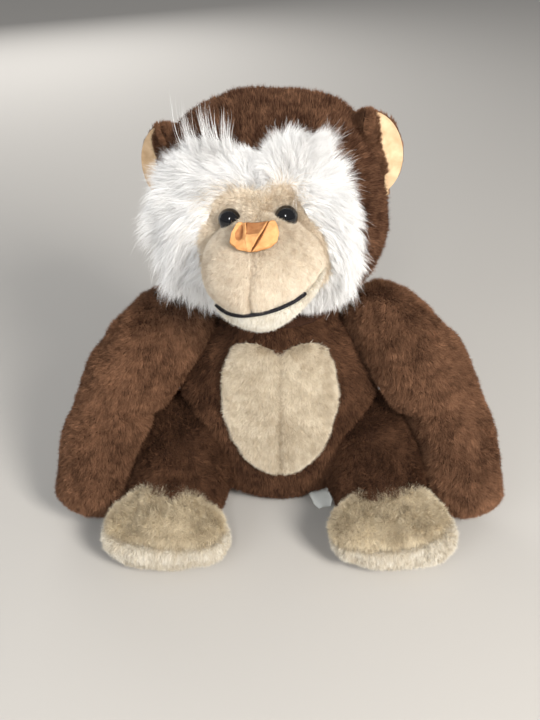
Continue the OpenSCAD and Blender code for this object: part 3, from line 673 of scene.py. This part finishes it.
def nose_at(x, z, k):
    """A point on the muzzle's front at x, z in the head's frame, lifted by k."""
    x, z = np.asarray(x, float), np.asarray(z, float)
    q = np.maximum(0.02, 1 - (x / MX) ** 2 - ((z - MUZ_AT[2]) / MZ) ** 2)
    y = MUZ_AT[1] - MY * np.sqrt(q)
    y = np.minimum(y, head_y(x, z) - 0.6)
    g = unit(np.stack([x / MX ** 2, (y - MUZ_AT[1]) / MY ** 2, (z - MUZ_AT[2]) / MZ ** 2], -1))
    return np.stack([x, y, z], -1) + g * np.asarray(k)[..., None]


# ---------------------------------------------------------------- placing

def skin(name, V, F, mat, body, replaces=(), head=False, uv=None, smooth=True):
    if head:
        V = world(V)
    mats = mat if isinstance(mat, list) else [mat]
    o = make(name, V, F, mats, uv=uv, smooth=smooth)
    if isinstance(body, tuple):
        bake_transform(o)
    else:
        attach(o, body)
    if replaces:
        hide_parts(*replaces)
    return o


def coat(name, V, F, body, slot, *args, head=False, **kw):
    """Pile over a skin, riding as the skin does."""
    if head:
        V = world(V)
    o = pile(name, V, F, *args, **kw)
    if isinstance(body, tuple):
        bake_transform(o)
    else:
        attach(o, body)
    return o


def flow(*v):
    v = V3(*v)
    return lambda P, N: np.broadcast_to(v, P.shape)


# torso
V, F = torso_skin()
skin("torso_skin", V, F, BROWN_SKIN, "torso", ["torso_cover", "torso_stuffing"])
# the torso's pile takes the darkened brown: painted shade
coat("torso_pile", V, F, "torso", "brown_plush", 190000, 3.8, BROWN_SHADED, 101, width=0.5, comb=flow(0, -0.1, -1),
     mask=lambda C: np.where((C[:, 2] < 1.2), 0.0, 1.0))
for s in (1, -1):
    P, F, m, n = patch_skin(s)
    VV, FF = thick(P, F, 2.2, m, n, False)
    skin(f"belly_patch_{SIDE[s]}", VV, FF, CREAM_SKIN, "torso", [f"tummy_patch_{SIDE[s]}"])
    # the pile is darkened along the middle seam between the patches: painted shade in the seam's groove
    coat(f"belly_pile_{SIDE[s]}", P, F, "torso", "cream_plush", 60000, 3.6, CREAM, 110 + s, width=0.42, lean=40, comb=flow(0.45 * s, -0.1, -1), mask=lambda C: (np.abs(C[:, 0]) > 0.8).astype(float),
         shade=lambda P: -0.32 * bump(P[:, 0], 1.8),
         clump=3.2, pull=0.35, wild=0.34)

# arms
for s in (1, -1):
    V, F, e, m = arm_skin(s)
    body = (f"upper_arm_{SIDE[s]}", f"forearm_{SIDE[s]}", e - m * 15, e + m * 15)
    nm = SIDE[s]
    skin(f"arm_skin_{nm}", V, F, BROWN_SKIN, body, [f"upper_arm_cover_{nm}", f"forearm_cover_{nm}", f"upper_arm_stuffing_{nm}", f"forearm_stuffing_{nm}",
         f"shoulder_gather_{nm}"])
    coat(f"arm_pile_{nm}", V, F, body, "brown_plush", 185000, 3.8, BROWN, 120 + s, width=0.5, comb=flow(0.35 * s, -0.45, -0.8))

# legs and feet
for s in (1, -1):
    V, F, h, a, d = leg_skin(s)
    nm = SIDE[s]
    body = (f"leg_{nm}", f"foot_{nm}", a - d * 14, a + d * 6)
    skin(f"leg_skin_{nm}", V, F, BROWN_SKIN, body, [f"leg_cover_{nm}", f"leg_stuffing_{nm}"])
    # the legs' pile takes the darkened brown: painted shade
    coat(f"leg_pile_{nm}", V, F, body, "brown_plush", 130000, 3.8, BROWN_SHADED, 130 + s, width=0.5, comb=flow(0.1 * s, -0.8, -0.5), tone=0.04)

foot_prof = [(1, 24, 16.5, 1.0), (5.5, 30, 18.6, -0.6), (12, 36.4, 18.9, -2.6), (20, 39.2, 18.2, -4.8), (28, 37.4, 16.2, -6.2), (34, 31, 12.4, -7.0), (38, 20, 7, -7.4), (39.4, 9, 3.2, -7.6)]


def foot_skin(s):
    A = side(ANKLE, s)
    d = unit(V3(0.05 if s > 0 else -0.08, -1, 0))
    u = unit(np.cross(d, V3(0, 0, 1)))
    t = np.array([p[0] for p in foot_prof], float)
    tt = np.concatenate([np.linspace(1, 32, 34), np.linspace(32.6, 39.4, 14)])
    g = [smoothed([(p[0], p[k]) for p in foot_prof], tt, 1.6) for k in (1, 2, 3)]
    n = 120
    a = np.arange(n) * 2 * np.pi / n
    pw = 2.3
    f = (np.abs(np.cos(a)) ** pw + np.abs(np.sin(a)) ** pw) ** (-1 / pw)
    C = A + d * tt[:, None] + V3(3.6 * s, 0, 0) + np.stack([0 * tt, 0 * tt, g[2]], -1)
    roll = math.sin(math.radians(4 if s > 0 else 0)) * 0.6
    G = C[:, None] + (0.97 * g[0][:, None] * np.cos(a) * f)[..., None] * u + (g[1][:, None] * np.sin(a) * f)[..., None] * V3(0, 0, 1)
    G[..., 2] += roll * g[0][:, None] * np.cos(a)
    V, F = closed(G, C[0] - d * 1.0, C[-1] + d * 0.4)
    N = normals(V, F)
    rel = V - A
    along = rel @ d
    z = rel[:, 2]
    x = (rel - V3(3.6 * s, 0, 0)) @ u
    # seam round the toe, its puckers, and dents across the top
    wob = 1.3 * noise(V * V3(1, 1, 0), 9, 68 + s) + 0.8 * noise(V * V3(1, 1, 0), 4, 69 + s)
    seam = z - (-1.0 - (0.07 * x if s > 0 else -0.03 * x)) - wob
    on = np.clip((along - 6) / 10, 0, 1)
    V = V - N * (2.2 * bump(seam, 1.5) * on)[:, None] + N * (0.8 * bump(seam - 4.5, 2.5) * on)[:, None]
    puck = np.sin(x / 2.3 + 2 * noise(V, 8, 61 + s))
    V = V + N * (0.7 * puck * bump(seam, 4.0) * on)[:, None]
    dent = noise(np.stack([x, 0.35 * along, 0 * z], -1), 11, 63 + s)
    # the top's middle fold, and smaller ones across it
    V = V - N * (2.4 * bump(x + 3 + 2 * np.sin(along / 6), 2.2) * np.clip(N[:, 2], 0, 1) * np.clip((along - 8) / 8, 0, 1))[:, None]
    V = V - N * (3.2 * bump(dent, 0.20) * np.clip(N[:, 2], 0, 1) * np.clip(along / 8, 0, 1))[:, None]
    V = V + N * (1.2 * noise(V, 16, 65 + s) + 0.5 * noise(V, 7, 67 + s))[:, None]
    V[:, 2] = np.where(V[:, 2] < 2, 0.6 + 0.3 * np.maximum(V[:, 2], 0), V[:, 2])
    at = lambda Q: (Q - A)[:, 2] - (-1.0 - (0.07 if s > 0 else -0.03) * ((Q - A - V3(3.6 * s, 0, 0)) @ u)) - 1.3 * noise(Q * V3(1, 1, 0), 9, 68 + s) - 0.8 * noise(Q * V3(1, 1, 0), 4, 69 + s)
    return V, F, seam, at


for s in (1, -1):
    V, F, seam, seam_at = foot_skin(s)
    nm = SIDE[s]
    top = seam[F].mean(1) > 0
    # the foot tops take the darkened cream palette: painted shade
    for part, keep, mats, base, slot_ in (("top", top, FOOT_SHADED, CREAM_SKIN, "cream_plush"), ("sole", ~top, PALE, PALE_SKIN, "pale_plush")):
        used = np.unique(F[keep])
        remap = np.zeros(len(V), int)
        remap[used] = np.arange(len(used))
        Fp = remap[F[keep]]
        Vp = V[used]
        o = skin(f"foot_{part}_skin_{nm}", Vp, Fp, base, f"foot_{nm}", [f"foot_{part}_{nm}"] + ([f"foot_stuffing_{nm}"] if part == "top" else []))
        # the pile darkened along the toe seam is painted shade in the seam's groove; the noise term is random
        # tone
        coat(f"foot_{part}_pile_{nm}", Vp, Fp, f"foot_{nm}", slot_, 60000, 4.0, mats, 140 + s + (5 if part == "top" else 0), width=0.45, lean=44,
             comb=flow(0, -1, -0.35), clump=3.6, wild=0.36, patch=8.0, tone=(0.10 if part == "top" else -0.10),
             shade=lambda P, f=seam_at: -0.5 * bump(f(P), 1.3) + 0.14 * noise(P, 9, 64))

# head
V, F = crown_skin()
skin("crown_skin", V, F, BROWN_SKIN, "head", ["head_crown", "head_stuffing"], head=True)
# the crown's pile is toned darker (tone -0.28) than the arms': painted shade over the top of the head
coat("crown_pile", V, F, "head", "brown_plush", 190000, 4.2, BROWN, 150, head=True, width=0.52, lean=56, comb=flow(0.1, 1, -0.35), tone=-0.28)
V, F, m, n = ruff_skin()
VV, FF = thick(V, F, 1.8, m, n, True)
skin("ruff_skin", VV, FF, WHITE_SKIN, "head", ["fur_ruff"], head=True)
V, F = face_skin()
skin("face_skin", V, F, CREAM_SKIN, "head", ["face_panel"], head=True)


def from_nose(P, N):
    """Combed away from the bridge of the nose."""
    c = world(V3(0, -60, 2))
    return P - c


coat("face_pile", V, F, "head", "cream_plush", 90000, 2.9, FACE, 155, head=True, width=0.36, lean=48, comb=from_nose, clump=3, wild=0.3, swirl=0.4, patch=30.0,
     mask=None)
for s in (1, -1):
    V, F, m, n = muzzle_skin(s)
    nm = SIDE[s]
    skin(f"muzzle_skin_{nm}", V, F, CREAM_SKIN, "head", [f"muzzle_{nm}"] + (["muzzle_stuffing"] if s > 0 else []), head=True)
    # the muzzle's middle seam line is painted shade
    coat(f"muzzle_pile_{nm}", V, F, "head", "cream_plush", 80000, 2.3, FACE, 160 + s, head=True, width=0.34, lean=56, comb=flow(0.25 * s, -0.2, -1),
         clump=2.2, pull=0.35, wild=0.24, swirl=0.35, tone=0.06, patch=30.0, shade=seam_shade)
V, F, m, n = lip_skin()
skin("lip_skin", V, F, PALE_SKIN, "head", ["lower_lip"], head=True)
coat("lip_pile", V, F, "head", "pale_plush", 45000, 2.6, PALE, 165, head=True, width=0.34, lean=50, comb=flow(0, -0.4, -1), clump=2.6, pull=0.3, wild=0.26, tone=0.12)

# mouth cord
CORD = mottled("cord_black", srgb(20, 19, 22), srgb(44, 42, 46), 900, 0.75)
hl = np.linspace(-63, 56, 90)
pts = muz(mouth_v(hl), hl, 0.9, 0.4)
V, F = rope(pts, 1.05)
N = normals(V, F)
V = V + N * (0.10 * np.sin(V[:, 0] * 3.2 + V[:, 2] * 4))[:, None]
skin("mouth_cord_skin", V, F, CORD, "head", ["mouth_cord"], head=True)

# nose
SUEDE = mottled("suede_tan", srgb(214, 152, 96), srgb(240, 184, 124), 240, 0.85, 0.3, 2600, 0.25)
# the tan suede made darker: painted shade for the nose's gaps and hollows
SUEDE_PAINTED_SHADE = mottled("suede_shade", srgb(150, 98, 60), srgb(190, 134, 88), 220, 0.9, 0.2, 2600, 0.25)


def sheet_grid(fn, m, n):
    a, b = np.meshgrid(np.linspace(0, 1, m), np.linspace(0, 1, n), indexing="ij")
    P = fn(a, b).reshape(-1, 3)
    F = grid_tris(m, n, False)
    f = np.cross(P[F[:, 1]] - P[F[:, 0]], P[F[:, 2]] - P[F[:, 0]])
    if f[:, 1].sum() > 0:
        F = F[:, ::-1]
    return P, F, m, n


NZ = lambda a: -10.9 + 13.0 * a


def nose_base(a, b):
    half = np.interp(a, [0, 0.12, 0.3, 0.6, 0.85, 1], [2.0, 8.2, 11.4, 11.6, 9.8, 7.8])
    return nose_at(-0.9 + half * (2 * b - 1), NZ(a), 1.2 + 0 * a)


def nose_flap(a, b):
    """The middle flap: wide at the top, drawn to a point that stands proud at the bottom."""
    lo = np.interp(a, [0, 0.3, 1], [-2.9, -3.6, -4.4])
    hi = np.interp(a, [0, 0.3, 0.65, 1], [-1.5, 0.8, 3.8, 6.3])
    x = lo + (hi - lo) * b
    k = np.interp(a, [0, 0.12, 0.45, 0.75, 1], [2.6, 4.4, 4.6, 2.7, 1.9]) + 1.0 * b ** 3 * np.sin(np.pi * np.clip(a, 0, 1)) - 0.9 * np.sin(np.pi * b) * np.clip(a - 0.35, 0, 1)
    return nose_at(x, NZ(a * 1.02 - 0.03), k)


def nose_right(a, b):
    """The cupped fold: a rolled rim round a hollow."""
    out = np.interp(a, [0, 0.08, 0.3, 0.6, 0.85, 1], [-3.4, -8.6, -12.9, -12.2, -9.6, -7.2])
    inn = np.interp(a, [0, 0.3, 0.6, 0.85, 1], [-2.8, -3.5, -3.9, -4.3, -4.7])
    x = out + (inn - out) * b
    pit = bump((b - 0.56) / 0.27, 1) * bump((a - 0.62) / 0.27, 1)
    edge_ = np.clip(np.minimum(b * 7, np.minimum(a, 1 - a) * 9), 0, 1)
    return nose_at(x, NZ(a), 1.2 + 2.9 * edge_ ** 0.6 - 3.0 * pit)


def nose_left(a, b):
    """The smooth side fold, tucked under the flap along the slit."""
    out = np.interp(a, [0, 0.1, 0.3, 0.6, 0.85, 1], [0.6, 8.0, 11.4, 12.2, 11.0, 8.8])
    inn = np.interp(a, [0, 0.3, 0.65, 1], [-1.7, 0.9, 4.0, 6.9])
    x = inn + (out - inn) * b
    edge_ = np.clip(np.minimum((1 - b) * 5, np.minimum(a, 1 - a) * 9), 0, 1)
    return nose_at(x, NZ(a), 0.9 + 2.6 * edge_ ** 0.6 * np.clip(b * 5, 0.05, 1) ** 0.7 + 0.5 * np.sin(np.pi * b))


def joined(parts):
    VV, FF, II, k = [], [], [], 0
    for fn, dark in parts:
        P, F, m, n = sheet_grid(fn, 44, 44)
        V2, F2 = thick(P, F, 0.8, m, n, False)
        a = (np.arange(len(P)) // n) / (m - 1)
        b = (np.arange(len(P)) % n) / (n - 1)
        a, b = np.concatenate([a, a]), np.concatenate([b, b])
        II.append(dark(a[F2].mean(1), b[F2].mean(1)).astype(int))
        VV.append(V2)
        FF.append(F2 + k)
        k += len(V2)
    return np.concatenate(VV), np.concatenate(FF), np.concatenate(II)


# each mask picks the faces given the darker suede, which is painted shade: the whole base patch seen in the
# gaps, the flap's upper part, the right fold's hollow and the left fold's edge along the slit
for nm_, parts, node in (("nose_base", ((nose_base, lambda a, b: a < 2), (nose_flap, lambda a, b: (a > 0.56) & (b < 0.93))), "nose_patch"),
                         ("nose_fold_right", ((nose_right, lambda a, b: (((b - 0.56) / 0.25) ** 2 + ((a - 0.62) / 0.26) ** 2) < 1),), "nostril_fold_right"),
                         ("nose_fold_left", ((nose_left, lambda a, b: b < 0.06),), "nostril_fold_left")):
    V, F, I = joined(parts)
    V = V + 0.12 * noise(V, 1.6, 167)[:, None]
    o = make(nm_, world(V), F, [SUEDE, SUEDE_PAINTED_SHADE], I)
    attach(o, "head")
    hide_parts(node)

# eyes: glossy domes set in the hollows, with their shanks and washers kept as the frame's own
EYE = plain("eye_black", (0.003, 0.003, 0.004, 1), 0.08, coat=0.6, spec=0.4)
for s in (1, -1):
    c = V3(15.4 * s - 0.8, head_y(np.array(15.4), np.array(3.2)) - 1.6, 3.2)
    ax = unit(V3(0.22 * s, -1, 0.05))
    u = unit(np.cross(ax, V3(0, 0, 1)))
    w = np.cross(u, ax)
    q = np.radians(np.linspace(100, 4, 26))
    a = np.arange(48) * 2 * np.pi / 48
    R = 6.3
    G = c + R * (np.cos(q)[:, None, None] * 0.92 * ax + np.sin(q)[:, None, None] * (np.cos(a)[None, :, None] * u + np.sin(a)[None, :, None] * w))
    V, F = closed(G, c - ax * 1.2, c + ax * R * 0.92)
    skin(f"eye_dome_{SIDE[s]}", V, F, EYE, "head", [f"eye_{SIDE[s]}"], head=True)

# ears
FELT = mottled("felt_tan", srgb(204, 170, 132), srgb(232, 202, 164), 160, 0.9, 0.4, 3000, 0.2)


def ear_pt(s, a, r, f):
    z = 29 + 24.5 * a
    zs = np.clip(z, 0, 42)
    xs = RX * (1 - (zs / RT) ** PW) ** (1 / PW) - 0.5
    w = np.sqrt(np.maximum(0, 1 - a * a))
    x0 = xs + 6 * np.maximum(0, a - 0.45) ** 1.5
    xo = np.maximum(57.5 + 19.5 * w, x0 + 3.5)
    x = x0 + (xo - x0) * r
    fold = 7.0 * np.clip((a + 0.1) / 0.9, 0, 1) * np.clip((0.42 - r) / 0.42, 0, 1) ** 0.8
    y = -7.5 - 7 * a + 10.5 * r - 3 * a * a - 2.5 * (2 * r - 1) ** 2 - f - 0.6 * fold
    return np.stack([s * x, y, z + 0 * r], -1)


for s in (1, -1):
    m, n = 44, 30
    av, rv = np.meshgrid(np.sin(np.linspace(-1.45, 1.45, m)), np.linspace(0, 1, n), indexing="ij")
    P = ear_pt(s, av, rv, 0.0).reshape(-1, 3)
    P = P + 0.7 * noise(P, 9, 170)[:, None] * V3(0, 1, 0)
    F = grid_tris(m, n, False)
    f = np.cross(P[F[:, 1]] - P[F[:, 0]], P[F[:, 2]] - P[F[:, 0]])
    if f[:, 1].sum() > 0:
        F = F[:, ::-1]
    back, BF = P + V3(0, 2.6, 0), F[:, ::-1]
    nm = SIDE[s]
    VV, FF = thick(back, F, 1.2, m, n, False)
    skin(f"ear_back_skin_{nm}", VV, FF, BROWN_SKIN, f"ear_{nm}", [f"ear_back_{nm}"], head=True)
    coat(f"ear_back_pile_{nm}", back, BF, f"ear_{nm}", "brown_plush", 16000, 3.0, BROWN, 172 + s, head=True, width=0.42, lean=46, comb=flow(0, 0, 1))
    # the lining, with the brown rim turned over its front upper edge
    av2, rv2 = np.meshgrid(np.sin(np.linspace(-1.40, 1.36, m)), np.linspace(0.24, 0.985, n), indexing="ij")
    L = ear_pt(s, av2, rv2, 1.4).reshape(-1, 3)
    LV, LF = thick(L, F, 0.8, m, n, False)
    skin(f"ear_lining_skin_{nm}", LV, LF, FELT, f"ear_{nm}", [f"ear_lining_{nm}"], head=True)
    av3, rv3 = np.meshgrid(np.sin(np.linspace(-0.5, 1.45, m)), np.linspace(0.0, 0.24, n), indexing="ij")
    Rm = ear_pt(s, av3, rv3, 1.6).reshape(-1, 3)
    coat(f"ear_rim_pile_{nm}", Rm, F, f"ear_{nm}", "brown_plush", 9000, 3.0, BROWN, 176 + s, head=True, width=0.42, lean=40, comb=flow(0.4 * s, 0, 1), tone=0.06)
    # the fold of brown pile in front of the ear's upper root
    q, a = np.radians(np.linspace(8, 172, 30)), np.arange(40) * 2 * np.pi / 40
    E = np.stack([8.0 * np.sin(q)[:, None] * np.cos(a), 6.2 * np.sin(q)[:, None] * np.sin(a), np.broadcast_to((12.6 * np.cos(q))[:, None], (30, 40))], -1)
    E = E @ rot("y", 16 * s).T + V3(55.0 * s, -11.0, 41.0)
    EV, EF = closed(E, E[0].mean(0), E[-1].mean(0))
    EV = EV + 1.1 * noise(EV, 8, 174 + s)[:, None] * normals(EV, EF)
    skin(f"ear_fold_skin_{nm}", EV, EF, BROWN_SKIN, f"ear_{nm}", (), head=True)
    coat(f"ear_fold_pile_{nm}", EV, EF, f"ear_{nm}", "brown_plush", 14000, 3.0, BROWN, 178 + s, head=True, width=0.42, lean=42, comb=flow(0, -0.3, 1), tone=0.08)

# neck gather
q = np.radians(np.linspace(64, 30, 10))
a = np.arange(120) * 2 * np.pi / 120
G = NECK + np.stack([35.2 * np.sin(q)[:, None] * np.cos(a), 35.2 * np.sin(q)[:, None] * np.sin(a), np.broadcast_to((35.2 * np.cos(q))[:, None], (10, 120))], -1)
V, F = closed(G)
V = V + 0.6 * np.sin(np.arctan2(V[:, 1] - 3, V[:, 0]) * 26)[:, None] * normals(V, F)
VV, FF = thick(V, F, 1.2, 10, 120, True)
skin("neck_gather_skin", VV, FF, BROWN_SKIN, "neck", ["neck_gather"])

# label: blank satin
SATIN = mottled("satin_white", srgb(232, 234, 226), srgb(250, 250, 244), 90, 0.4)
m, n = 22, 18
aa, bb = np.meshgrid(np.linspace(0, 1, m), np.linspace(0, 1, n), indexing="ij")
w = 14.0 * np.interp(aa, [0, 0.72, 1], [1, 1, 0.62])
x = (bb - 0.5) * w
y = -0.4 - 15.0 * aa
z = 1.1 * np.sin(aa * 3.4) + 0.5 * np.sin(bb * 5) * aa
c1, s1 = math.cos(math.radians(19)), math.sin(math.radians(19))
y2, z2 = y * c1 - z * s1, y * s1 + z * c1
c2, s2 = math.cos(math.radians(22)), math.sin(math.radians(22))
P = np.stack([25.6 + x * c2 - y2 * s2, -20.4 + x * s2 + y2 * c2, 7.6 + z2], -1).reshape(-1, 3)
F = grid_tris(m, n, False)
f = np.cross(P[F[:, 1]] - P[F[:, 0]], P[F[:, 2]] - P[F[:, 0]])
if f[:, 2].sum() < 0:
    F = F[:, ::-1]
VV, FF = thick(P, F, 0.35, m, n, False)
label = skin("label_sheet", VV, FF, SATIN, "label", ["care_label"])


# ---------------------------------------------------------------- long white pile

GRAV = HEAD_R.T @ V3(0, 0, -1)


def roots(count, lo, hi, seed, band=(0.0, 1.0)):
    """Places for long fibres between the face panel and the crown, a and t being round and across."""
    rng = np.random.default_rng(seed)
    a = lo + (hi - lo) * rng.random(count * 3)
    t = band[0] + (band[1] - band[0]) * rng.random(count * 3)
    e0, e1 = edge(FACE_EDGE, a % 360) - 2.5, edge(RUFF_EDGE, a % 360) + 1.0
    u = e0 + (e1 - e0) * t
    w = np.sin(np.radians(u)) * (e1 - e0)
    ok = np.flatnonzero(rng.random(len(w)) < w / w.max())[:count]
    a, t, u = a[ok], t[ok], u[ok]
    P = head_pt(u, a, 0.6)
    h = np.where(P[:, 2] > 0, RT, RZ)
    N = unit(np.stack([P[:, 0] / RX ** 2, P[:, 1] / RY ** 2, P[:, 2] / h ** 2], -1))
    return P, N, a % 360, t, rng


def long_pile(part, count, seed, lo, hi, segs=5, locks=330, scale=1.0, band=(0.0, 1.0), width=0.2, up=0.0, wander=1.0, aim=(0, 0, 0)):
    """Long fine fibres gathered in loose locks, combed away from the face and drooping."""
    P, N, a, t, rng = roots(count, lo, hi, seed, band)
    G, GN, ga, gt, grng = roots(locks, lo, hi, 900 + part, band)
    count = len(P)
    near = np.zeros(count, int)
    for c0 in range(0, count, 4000):
        near[c0:c0 + 4000] = ((P[c0:c0 + 4000, None] - G[None]) ** 2).sum(2).argmin(1)
    T = segs + 1

    def long(a_, t_, r_):
        L = smoothed(PILE_LONG, np.where(a_ > 270, a_ - 360, a_), 7)
        return scale * L * (0.42 + 0.58 * np.clip(t_ * 2.6, 0, 1)) * (0.5 + 0.72 * r_)

    def path(P0, N0, a_, L, r1):
        c = unit(P0 * V3(1, 0, 1) + V3(0, 0, 6))
        c = unit(c - N0 * (c * N0).sum(1)[:, None])
        side_ = np.cross(N0, c)
        sw = 0.75 * noise(P0, 15, 821) + 0.6 * noise(P0, 6, 822)
        c = unit(c + side_ * sw[:, None])
        high = np.clip((P0[:, 2] - 14) / 20, 0, 1)
        lift = 0.72 + 0.4 * noise(P0, 10, 823) + 0.25 * high + up
        d = unit(c + N0 * lift[:, None] + r1)
        out = [P0]
        for k in range(segs):
            out.append(out[-1] + d * (L / segs)[:, None])
            d = unit(d + GRAV * (0.26 - 0.16 * high - 0.5 * up)[:, None] + V3(*aim) + 0.30 * wander * np.stack([noise(out[-1], 6.5, 831 + q) for q in range(3)], -1))
        return np.stack(out, 1)

    gl = long(ga, gt, grng.random(len(G))) * 1.05
    GP = path(G, GN, ga, gl, grng.normal(0, 0.34, G.shape))
    L = long(a, t, rng.random(count))
    own = path(P, N, a, L, rng.normal(0, 0.26, P.shape))
    tt = np.linspace(0, 1, T)[None, :, None]
    lock = P[:, None] + (GP[near] - GP[near][:, :1]) * (L / gl[near])[:, None, None]
    mix = np.clip(0.55 + 0.3 * rng.normal(size=count), 0.0, 0.95)[:, None, None]
    S = own * (1 - mix) + (lock + (GP[near][:, :1] - P[:, None]) * 0.55 * tt ** 1.4) * mix
    wave = rng.random((count, 1, 1)) * 6.28 + tt * 7
    S = S + 0.5 * tt * np.concatenate([np.sin(wave), 0 * wave, np.cos(wave * 1.13)], -1)
    wd_ = width * (0.6 + 0.8 * rng.random(count))
    D = np.gradient(S, axis=1)
    w = unit(np.cross(np.broadcast_to(N[:, None], D.shape), D))
    r = rng.normal(0, 0.7, count)[:, None, None]
    w = w * np.cos(r) + np.cross(unit(D), w) * np.sin(r)
    prof = np.linspace(1, 0, T)[None, :, None] ** 0.6
    A = world(S - w * (wd_ / 2)[:, None, None] * prof)
    B = world(S + w * (wd_ / 2)[:, None, None] * prof)
    verts = np.concatenate([A[:, :-1], B[:, :-1], A[:, -1:]], 1)
    k = T - 1
    tri = []
    for i in range(k - 1):
        tri += [[i, k + i, k + i + 1], [i, k + i + 1, i + 1]]
    tri = np.array(tri + [[k - 1, 2 * k - 1, 2 * k]])
    tris = (np.arange(count)[:, None, None] * (2 * k + 1) + tri[None]).reshape(-1, 3)
    ch = hashed(near, near * 0 + part, near * 0 + 3, seed + 41)
    v = 0.6 + 0.3 * (ch - 0.5) + 0.5 * (rng.random(count) - 0.5)
    idx = np.clip((v * 7).astype(int), 0, 6)
    warm = rng.random(count) < np.clip(1.0 - t * 3.6, 0, 1) * bump((a - 92) / 58, 1)
    idx = np.where(warm, 7 + (rng.random(count) * 3).astype(int), idx)
    o = make(f"ruff_pile_{part}", verts.reshape(-1, 3), tris, WHITE, np.repeat(idx, len(tri)), smooth=True)
    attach(o, "head")
    return o


for i, (lo, hi) in enumerate(((-80, -30), (-30, 15), (15, 60), (60, 100), (100, 140), (140, 185), (185, 250))):
    long_pile(i + 1, 14000, 300 + 10 * i, lo, hi)
long_pile(8, 320, 400, 108, 138, segs=7, locks=9, scale=2.3, band=(0.7, 1.0), up=0.34, wander=1.1, aim=(0.04, -0.1, 0.5))
long_pile(9, 1500, 410, -60, 100, segs=7, locks=60, scale=1.3, band=(0.4, 1.0), up=0.1, wander=1.6)
long_pile(10, 1300, 420, 150, 235, segs=7, locks=55, scale=1.25, band=(0.4, 1.0), wander=1.7)

# ---------------------------------------------------------------- stage, light and camera

floor = make("floor", np.array([[-4000, -3000, 0], [4000, -3000, 0], [4000, 6000, 0], [-4000, 6000, 0]], float), np.array([[0, 1, 2], [0, 2, 3]]),
             [plain("floor_pale", srgb(196, 192, 186), 0.9)], smooth=False)


def lamp(name, at, to, size, power, color=(1, 1, 1), shine=1.0):
    d = bpy.data.lights.new(name, "AREA")
    d.shape = "RECTANGLE"
    d.size, d.size_y = size
    d.energy = power
    d.color = color
    d.specular_factor = shine
    o = bpy.data.objects.new(name, d)
    bpy.context.scene.collection.objects.link(o)
    o.visible_glossy = shine > 0
    o.location = Vector(at)
    o.rotation_euler = (Vector(to) - Vector(at)).to_track_quat("-Z", "Y").to_euler()
    return o


lamp("key", (0.62, -0.86, 0.80), (0, -0.02, 0.13), (0.36, 0.45), 18, (1.0, 0.97, 0.93), shine=0.0)
lamp("fill", (-0.7, -1.0, 0.7), (0, 0, 0.13), (0.7, 0.7), 4.5, (0.92, 0.96, 1.0), shine=0.0)
lamp("rim", (-0.5, 1.2, 0.55), (0, 0, 0.13), (0.8, 0.6), 7, shine=0.0)
lamp("window", (-0.14, -1.0, 0.86), (0, -0.05, 0.2), (0.12, 0.30), 3.4)
wd = bpy.data.worlds.new("room")
bpy.context.scene.world = wd
wd.use_nodes = True
wd.node_tree.nodes["Background"].inputs["Color"].default_value = (0.80, 0.81, 0.83, 1)
wd.node_tree.nodes["Background"].inputs["Strength"].default_value = 0.36

cam = bpy.data.cameras.new("camera")
cam.lens = 45.0
cam.sensor_width = 36.0
cam.clip_start = 0.02
co = bpy.data.objects.new("camera", cam)
bpy.context.scene.collection.objects.link(co)
co.location = (-0.006, -0.4873, 0.4148)
co.rotation_euler = Euler((math.radians(57), 0, 0))
bpy.context.scene.camera = co
bpy.context.scene.view_settings.view_transform = "Standard"
